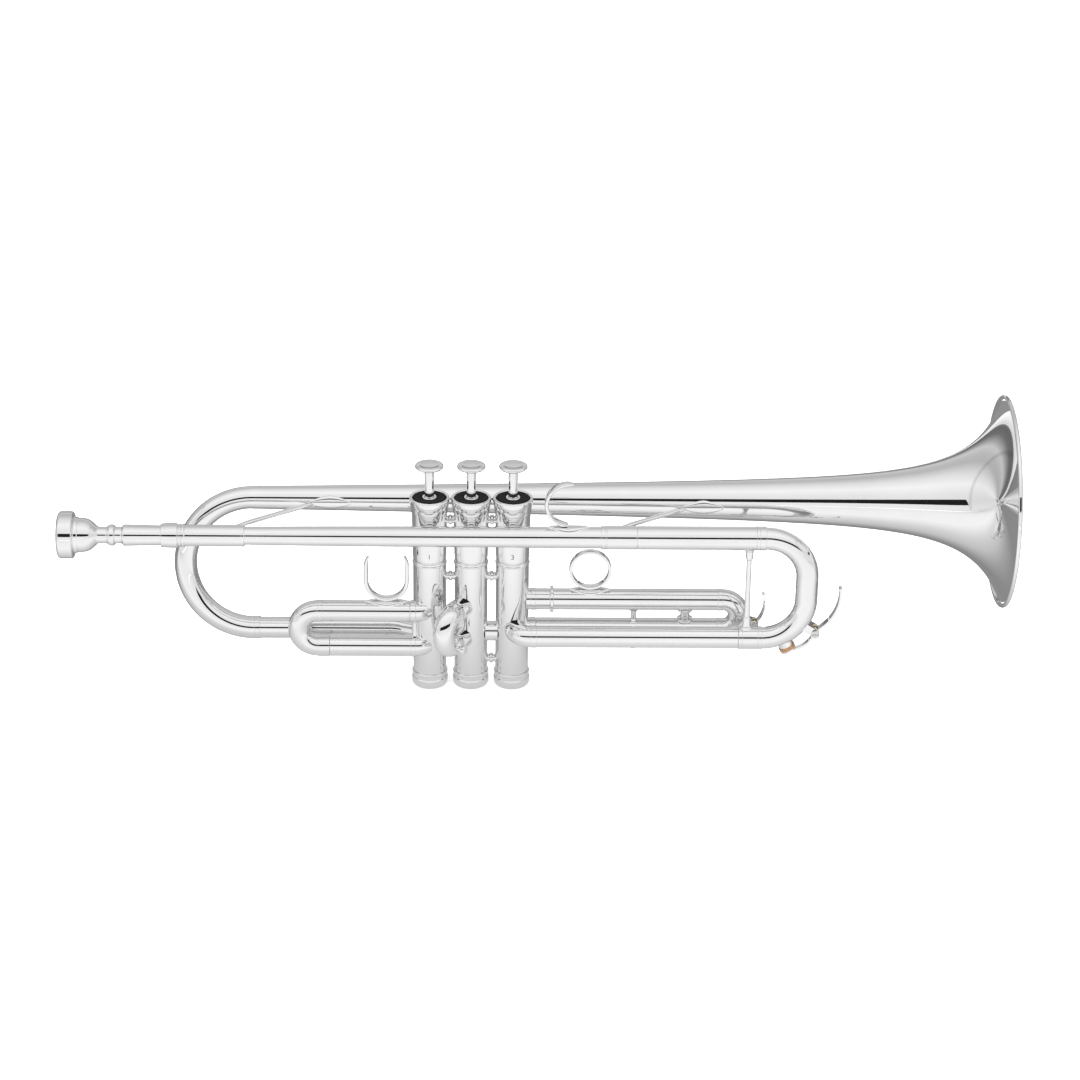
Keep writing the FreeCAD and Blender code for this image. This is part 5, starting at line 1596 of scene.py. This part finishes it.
@dataclass
class ThirdSlide:
    """Third valve slide: fixed stubs, sliding tubes, fittings and ring."""

    tube: float = 6.15
    leg: float = 5.6
    bow: float = 6.1
    step: float = 0.2
    root: float = 8.0
    knuckle: float = 13.65
    disc_x: float = 21.65
    leg_end: float = 98.25
    bow_start: float = 121.45
    post: float = 70.25
    nut: float = 99.95
    ring_x: float = 44.75
    disc: float = 7.6
    ring: float = 12.15
    ring_inside: float = 10.35

    def build(self) -> list[bpy.types.Object]:
        """Makes the stubs, the sliding tubes, the fittings and the ring.

        Returns:
            The four pieces.
        """
        box = Extent.of("third_slide_stubs")
        up, low = box.high.z - self.tube - self.step, box.low.z + self.tube + self.step
        casing = Extent.of("valve_casing_3").centre.x
        return [self.stubs(casing, (up, low)), self.sliding(casing, (up, low)),
                self.fittings(casing, (up, low)), self.finger_ring(casing + self.ring_x, up)]

    def stubs(self, casing: float, heights: tuple[float, float]) -> bpy.types.Object:
        """Makes the fixed tubes with their knuckles.

        Args:
            casing: X of the third casing.
            heights: Z of the upper and lower tube.

        Returns:
            The piece.
        """
        work = Metalwork()
        root, k, tip = casing + self.root, casing + self.knuckle, casing + self.leg_end
        wide, bore = self.tube + self.step, self.leg - WALL
        for z, end in zip(heights, (casing + self.disc_x, k)):
            at = Vector((0.0, 0.0, z))
            work.turn([(root, bore), (root, self.tube), (end, self.tube), (end, bore)], at, X, 72)
            work.turn([(k - 3.0, 5.7), (k - 3.0, self.tube), (k - 2.8, wide), (k - 0.2, wide),
                       (k, self.tube), (k, 5.7)], at, X, 72, 0.06)
            work.turn([(end - 1.0, bore), (end - 1.0, self.leg), (tip, self.leg), (tip, bore)],
                      at, X, 72)
        return work.piece("Third_stubs", Carrier.HORN, "third_slide_stubs")

    def sliding(self, casing: float, heights: tuple[float, float]) -> bpy.types.Object:
        """Makes the sliding tubes, ferrules, stop disc and bow.

        Args:
            casing: X of the third casing.
            heights: Z of the upper and lower tube.

        Returns:
            The piece.
        """
        work = Metalwork()
        bow, wide, bore = casing + self.bow_start, self.tube + self.step, self.tube - WALL
        d, low_start = (casing + place + RUNNING_GAP for place in (self.disc_x, self.knuckle))
        for z, end in zip(heights, (d, low_start)):
            at = Vector((0.0, 0.0, z))
            work.turn([(end, bore), (end, self.tube), (bow, self.tube), (bow, bore)], at, X, 72)
            work.turn([(bow - 2.9, 5.7), (bow - 2.9, self.tube), (bow - 2.7, wide),
                       (bow - 0.2, wide), (bow, self.tube), (bow, 5.7)], at, X, 72, 0.06)
        up, low = heights
        work.turn([(d, 5.7), (d, self.disc - 0.25), (d + 0.3, self.disc), (d + 1.5, self.disc),
                   (d + 1.8, self.disc - 0.25), (d + 1.8, 5.7)], Vector((0.0, 0.0, up)), X, 96, 0.1)
        work.tube(Vector((bow, 0.0, up)), X, [("bend", (up - low) / 2, 180, Y)], self.bow)
        return work.piece("Third_slide", Carrier.THIRD_SLIDE, "third_slide_tubes")

    def fittings(self, casing: float, heights: tuple[float, float]) -> bpy.types.Object:
        """Makes the post, the lyre nut and the stop screw.

        Args:
            casing: X of the third casing.
            heights: Z of the upper and lower tube.

        Returns:
            The piece.
        """
        work = Metalwork()
        up, low = heights
        top, base = up - self.tube + 0.6, low + self.tube - 0.6
        post, nut = casing + self.post, casing + self.nut
        work.turn([(base, 0.0), (base, 2.4), (base + 1.2, 1.6), (top - 2.0, 1.5), (top - 1.2, 2.3),
                   (top, 3.9), (top, 0.0)], Vector((post, 0.0, 0.0)), Z, 64, 0.25)
        work.turn([(base, 0.0), (base, 4.6), (base + 1.6, 4.6), (base + 2.0, 3.6),
                   (base + 2.6, 2.6), (top - 2.4, 2.6), (top - 1.8, 3.6), (top - 1.2, 4.2),
                   (top, 4.2), (top, 0.0)],
                  Vector((nut, 0.0, 0.0)), Z, 64, 0.2)
        floor = low - self.tube
        work.turn([(floor - 5.6, 0.0), (floor - 5.6, 2.5), (floor - 5.2, 3.1), (floor - 4.0, 3.1),
                   (floor - 3.7, 1.8), (floor + 0.5, 1.8), (floor + 0.5, 0.0)],
                  Vector((post, 0.0, 0.0)), Z, 64, 0.15)
        return work.piece("Third_fittings", Carrier.THIRD_SLIDE, "third_slide_fittings")

    def finger_ring(self, x: float, up: float) -> bpy.types.Object:
        """Makes the ring on its leaf foot.

        Args:
            x: X of the ring's middle.
            up: Z of the upper tube.

        Returns:
            The piece.
        """
        work = Metalwork()
        z = up + self.tube + 0.7 + self.ring
        half, out, inside = 2.4, self.ring, self.ring_inside
        outline = [(-half, inside + 0.25), (-half, out - 0.3), (-half + 0.5, out),
                   (half - 0.5, out), (half, out - 0.3), (half, inside + 0.25),
                   (half - 0.5, inside), (-half + 0.5, inside)]
        work.turn(outline, Vector((x, 0.0, z)), Y, 96, 0.35)
        work.foot(Vector((x, 0.0, up)), X, Z, self.tube, (24.5, 9.5, 1.0))
        return work.piece("Finger_ring", Carrier.THIRD_SLIDE, "finger_ring")


# --- hook and braces --------------------------------------------------------------------


@dataclass
class HandFittings:
    """Little-finger hook on the leadpipe and the two diagonal braces."""

    hook: float = 12.5
    hook_thick: float = 2.3
    hook_width: float = 6.0
    hook_x: float = 55.0
    pipe: float = 6.15
    front: tuple[float, float] = (84.5, 124.0)
    rear: tuple[float, float] = (-132.0, -90.0)
    bar_width: float = 3.0
    bar_depth: float = 2.2
    bar_rise: float = 5.0
    bar_inset: float = 2.6
    bar_points: int = 24
    foot_x: float = 9.1

    def build(self, bell: Bell) -> list[bpy.types.Object]:
        """Makes the hook and both braces.

        Args:
            bell: The bell, for the radius under each brace foot.

        Returns:
            The three pieces.
        """
        pipe = Extent.of("leadpipe")
        axis = Vector((0.0, pipe.centre.y, pipe.centre.z))
        return [self.finger_hook(axis),
                self.brace("Front_brace", "front_brace", self.front, axis, bell),
                self.brace("Rear_brace", "rear_brace", self.rear, axis, bell)]

    def finger_hook(self, axis: Vector) -> bpy.types.Object:
        """Makes the hook on its leaf foot.

        Args:
            axis: A point on the leadpipe's axis.

        Returns:
            The piece.
        """
        work = Metalwork()
        base = axis.z + self.pipe + 0.75
        centre = Vector((self.hook_x, axis.y, base + self.hook_thick / 2 + self.hook))
        path = arc(centre, centre - Z * self.hook, Y, 192, 49)
        work.strip(path, Y, self.hook_width, self.hook_thick, 0.75)
        work.foot(Vector((self.hook_x, axis.y, axis.z)), X, Z, self.pipe,
                  (24.5, 9.0, 0.9))
        return work.piece("Finger_hook", Carrier.HORN, "pinky_hook")

    def brace(self, name: str, node: str, ends: tuple[float, float], axis: Vector,
              bell: Bell) -> bpy.types.Object:
        """Makes one bar from the leadpipe to its leaf foot on the bell.

        Args:
            name: Object name.
            node: CAD node that it stands for.
            ends: X at the leadpipe and at the bell.
            axis: The leadpipe's axis.
            bell: The bell, for its radius.

        Returns:
            The piece.
        """
        work = Metalwork()
        flare = Extent.of("bell_flare")
        length = Extent.of("bell_rim_wire").high.x - flare.low.x
        reach = bell.radius(ends[1] - flare.low.x, length)
        z = axis.z + self.bar_rise
        near = Vector((ends[0], axis.y + self.bar_inset, z))
        far = Vector((ends[1], flare.centre.y - reach + 0.8, z))
        way = (far - near).normalized()
        across = Z.cross(way).normalized()
        path = [near.lerp(far, i / self.bar_points) for i in range(self.bar_points + 1)]
        work.strip(path, across, self.bar_width, self.bar_depth)
        foot_x = ends[1] + self.foot_x
        radius = bell.radius(foot_x - flare.low.x, length)
        work.foot(Vector((foot_x, flare.centre.y, flare.centre.z)), X, -Y, radius - 0.25,
                  (26.0, 9.0, 1.1))
        return work.piece(name, Carrier.HORN, node)


@dataclass
class Numerals:
    """Small engraved numbers on the outer casings, drawn as flat marks whose dark colour is painted
    shade of the cut grooves.
    """

    height: float = 4.3
    level: float = 84.2
    surface: float = 9.72
    # the cut finish is dark: painted shade, standing in for the shade inside the engraved grooves
    cut: MetalFinish = MetalFinish(Slot.SILVER, "Numbers with painted groove shade", (0.2, 0.2, 0.21), (0.12, 0.12, 0.12),
                                   (0.3, 0.3, 0.3), (0.5, 0.75))

    def build(self) -> list[bpy.types.Object]:
        """Makes the numbers of the first and third valve.

        Returns:
            Both pieces.
        """
        finish = self.cut.build()
        made = []
        for number in (1, 3):
            text = bpy.data.curves.new(f"Number_{number}", "FONT")
            text.body, text.align_x, text.size = str(number), "CENTER", self.height
            text.resolution_u = 4
            carrier = bpy.data.objects.new("Number_source", text)
            data = bpy.data.meshes.new_from_object(carrier)
            bpy.data.objects.remove(carrier)
            centre = Extent.of(f"valve_casing_{number}").centre.x
            for vertex in data.vertices:
                angle = vertex.co.x / self.surface
                vertex.co = Vector((centre + self.surface * math.sin(angle),
                                    -self.surface * math.cos(angle),
                                    self.level + vertex.co.y)) * MM
            thing = bpy.data.objects.new(f"Number_{number}", data)
            bpy.context.scene.collection.objects.link(thing)
            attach(thing, Carrier.HORN.value)
            data.materials.clear()
            data.materials.append(finish)
            LOG.info("made %s for the surface", thing.name)
            made.append(thing)
        return made


# --- dressing of the CAD nodes ----------------------------------------------------------


class CarriedNodes:
    """CAD nodes that keep their own shape and take a finish."""

    def __init__(self, wardrobe: Wardrobe) -> None:
        """Keeps the finishes.

        Args:
            wardrobe: The finishes by slot.
        """
        self.wardrobe = wardrobe

    def dress(self) -> None:
        """Gives every CAD node the finish of its record slot."""
        slots = {part["node"]: part["material_slot"] for part in frame["record"]["subparts"]}
        for name, thing in frame["nodes"].items():
            self.wardrobe.dress(thing, Slot(slots[name]))
            LOG.info("dressed %s in %s", name, slots[name])


# --- studio and camera ------------------------------------------------------------------


@dataclass(frozen=True)
class Studio:
    """Pale floor, soft tent and the cards that the metal mirrors."""

    floor: float = 12.0
    sky: float = 1.0
    overhead: float = 44.0
    floor_lift: float = 0.5
    lamp_at: Point = (0.0, -0.5, 1.9)
    lamp_size: float = 2.4
    viewer_x: tuple[float, float] = (-1.7, 2.0)
    viewer_y: float = -1.6
    viewer_z: tuple[float, float] = (0.48, 1.0)
    viewer_depth: Tones = ((-1.7, 0.015), (-1.5, 0.015))
    ground_half: tuple[float, float] = (2.5, 1.2)
    ground_level: float = 0.0004
    tent: Tones = (
        (-180.0, 0.18), (-150.0, 0.3), (0.0, 0.94), (25.0, 0.85), (45.0, 0.9), (72.0, 1.02),
        (100.0, 0.84), (131.0, 0.53), (146.0, 0.56), (159.0, 0.66), (166.0, 0.42), (174.0, 0.18),
        (180.0, 0.15))
    sides: Tones = (
        (0.0, 1.0), (0.35, 1.0), (0.76, 0.96), (0.79, 0.72), (0.82, 0.92), (1.0, 0.88))
    ground_depth: Tones = (
        (-0.8, 0.93), (-0.12, 1.02), (-0.08, 0.92), (-0.035, 0.74), (0.005, 0.6), (0.035, 0.4),
        (0.06, 0.28), (0.8, 0.3))
    ground_sides: Tones = ((0.0, 1.0), (0.5, 0.96), (0.9, 0.84), (1.6, 0.76))

    def build(self) -> None:
        """Makes the floor, the surroundings, the lamp and the cards."""
        self.ground()
        self.surroundings()
        self.lamp("Overhead", self.lamp_at, (0.0, 0.0, 0.0), self.lamp_size, self.overhead)
        (left, right), y, (low, high) = self.viewer_x, self.viewer_y, self.viewer_z
        self.card("Viewer_card", [(left, y, low), (right, y, low), (right, y, high),
                                  (left, y, high)], self.viewer_depth, ())
        (x, y), z = self.ground_half, self.ground_level
        self.card("Ground_card", [(-x, -y, z), (x, -y, z), (x, y, z), (-x, y, z)],
                  self.ground_depth, self.ground_sides)

    def ground(self) -> None:
        """Makes the pale floor."""
        half = self.floor / 2
        data = bpy.data.meshes.new("Floor")
        data.from_pydata([(-half, -half, 0.0), (half, -half, 0.0), (half, half, 0.0),
                          (-half, half, 0.0)], [], [(0, 1, 2, 3)])
        thing = bpy.data.objects.new("Floor", data)
        bpy.context.scene.collection.objects.link(thing)
        material, wiring, shader, point = open_material("Pale floor")
        cloud = BOOK.place(wiring, BOOK.clouding(), point, Scale=3.0, Breakup=40.0)
        wiring.feed(shader, "Base Color",
                    wiring.blend(cloud.outputs["Mask"], (0.95, 0.95, 0.95), (0.94, 0.94, 0.94)))
        shader.inputs["Roughness"].default_value = 0.9
        shader.inputs["Specular IOR Level"].default_value = 0.1
        shader.inputs["Emission Color"].default_value = (1.0, 1.0, 1.0, 1.0)
        seen = wiring.node("ShaderNodeLightPath").outputs["Is Camera Ray"]
        wiring.feed(shader, "Emission Strength", wiring.spread(seen, 0.0, self.floor_lift))
        data.materials.append(material)

    def surroundings(self) -> None:
        """Makes the soft tent that lights the scene, toned by height and by side."""
        scene = bpy.context.scene
        world = bpy.data.worlds.new("Soft studio")
        scene.world = world
        world.use_nodes = True
        wiring = Wiring(world.node_tree)
        back = world.node_tree.nodes["Background"]
        parts = wiring.node("ShaderNodeSeparateXYZ")
        wiring.feed(parts, "Vector", wiring.node("ShaderNodeTexCoord").outputs["Generated"])
        front = wiring.maths("MULTIPLY", parts.outputs["Y"], -1.0)
        angle = wiring.maths("ARCTAN2", parts.outputs["Z"], front)
        place = wiring.spread(angle, 0.0, 1.0, -math.pi, math.pi)
        height = wiring.ramp(place, tuple((a / 360 + 0.5, tone) for a, tone in self.tent))
        side = wiring.ramp(wiring.maths("ABSOLUTE", parts.outputs["X"], 0.0), self.sides)
        wiring.feed(back, "Color", wiring.product(height, side))
        back.inputs["Strength"].default_value = self.sky

    def lamp(self, name: str, at: Point, aim: Point, size: float, power: float) -> None:
        """Adds one soft square lamp that the metal doesn't mirror.

        Args:
            name: Lamp name.
            at: Its place in metres.
            aim: The point it faces.
            size: Side of the lamp in metres.
            power: Power in watts.
        """
        data = bpy.data.lights.new(name, "AREA")
        data.size, data.energy = size, power
        thing = bpy.data.objects.new(name, data)
        bpy.context.scene.collection.objects.link(thing)
        thing.location = at
        thing.rotation_mode = "QUATERNION"
        thing.rotation_quaternion = (Vector(aim) - Vector(at)).to_track_quat("-Z", "Y")
        thing.visible_glossy = False

    def card(self, name: str, corners: list[Point], depth: Tones, sides: Tones) -> None:
        """Adds one flat card that only reflections see.

        Args:
            name: Card name.
            corners: Its four corners in metres.
            depth: Tones by distance behind the object, in metres.
            sides: Tones by distance to either side, in metres.
        """
        data = bpy.data.meshes.new(name)
        data.from_pydata(corners, [], [(0, 1, 2, 3)])
        thing = bpy.data.objects.new(name, data)
        bpy.context.scene.collection.objects.link(thing)
        material, wiring, shader, point = open_material(name)
        parts = wiring.node("ShaderNodeSeparateXYZ")
        wiring.feed(parts, "Vector", point)
        tone = self.toned(wiring, parts.outputs["Y"], depth)
        if sides:
            away = wiring.maths("ABSOLUTE", parts.outputs["X"], 0.0)
            tone = wiring.product(tone, self.toned(wiring, away, sides))
        wiring.feed(shader, "Emission Color", tone)
        shader.inputs["Emission Strength"].default_value = 1.0
        shader.inputs["Base Color"].default_value = (0.0, 0.0, 0.0, 1.0)
        shader.inputs["Specular IOR Level"].default_value = 0.0
        data.materials.append(material)
        thing.visible_camera = False
        thing.visible_diffuse = False
        thing.visible_shadow = False

    def toned(self, wiring: Wiring, value: object, stops: Tones) -> object:
        """Grey tones along a distance in metres.

        Args:
            wiring: The material's wiring.
            value: Socket with the distance.
            stops: Pairs of distance and tone.

        Returns:
            The tone socket.
        """
        low, high = stops[0][0], stops[-1][0]
        place = wiring.spread(value, 0.0, 1.0, low, high)
        return wiring.ramp(place, tuple(((v - low) / (high - low), tone) for v, tone in stops))


@dataclass(frozen=True)
class ViewPoint:
    """The camera's place, by the point it faces."""

    aim: Point = (39.36, 0.0, 92.18)
    elevation: float = 25.259
    azimuth: float = -1.095
    roll: float = 0.769
    distance: float = 1752.0
    lens: float = 102.18
    sensor: float = 36.0
    clip: tuple[float, float] = (0.05, 50.0)

    def build(self) -> None:
        """Makes the camera and sets it as the scene's."""
        a, e, ro = (math.radians(v) for v in (self.azimuth, self.elevation, self.roll))
        back = Vector((math.sin(a) * math.cos(e), -math.cos(a) * math.cos(e), math.sin(e)))
        right = (-back).cross(Z).normalized()
        up = right.cross(-back)
        side = right * math.cos(ro) + up * math.sin(ro)
        top = up * math.cos(ro) - right * math.sin(ro)
        data = bpy.data.cameras.new("Camera")
        data.lens, data.sensor_width = self.lens, self.sensor
        data.clip_start, data.clip_end = self.clip
        camera = bpy.data.objects.new("Camera", data)
        bpy.context.scene.collection.objects.link(camera)
        turn = Matrix((side, top, back)).transposed().to_4x4()
        place = (Vector(self.aim) + back * self.distance) * MM
        camera.matrix_world = Matrix.Translation(place) @ turn
        bpy.context.scene.camera = camera


# --- build ------------------------------------------------------------------------------


def main() -> None:
    """Builds the trumpet's pieces, finishes, studio and camera in order."""
    logging.basicConfig(level=logging.INFO, format="%(message)s")
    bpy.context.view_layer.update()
    bpy.context.scene.view_settings.view_transform = "Standard"
    wardrobe = Wardrobe()
    ViewPoint().build()
    Studio().build()
    CarriedNodes(wardrobe).dress()
    bell = Bell()
    silver: list[bpy.types.Object] = []
    for number in (1, 2, 3):
        silver += Valve(number).build()
    for group in (BlockFittings(), Leadpipe(), bell, MainSlide(), FirstSlide(), SecondSlide(),
                  ThirdSlide()):
        silver += group.build()
    silver += HandFittings().build(bell)
    silver.append(Mouthpiece().build())
    for thing in silver:
        wardrobe.dress(thing, Slot.SILVER)
    Felts().build(wardrobe)
    ValveSprings().build(wardrobe)
    Numerals().build()


if __name__ == "__main__":
    main()
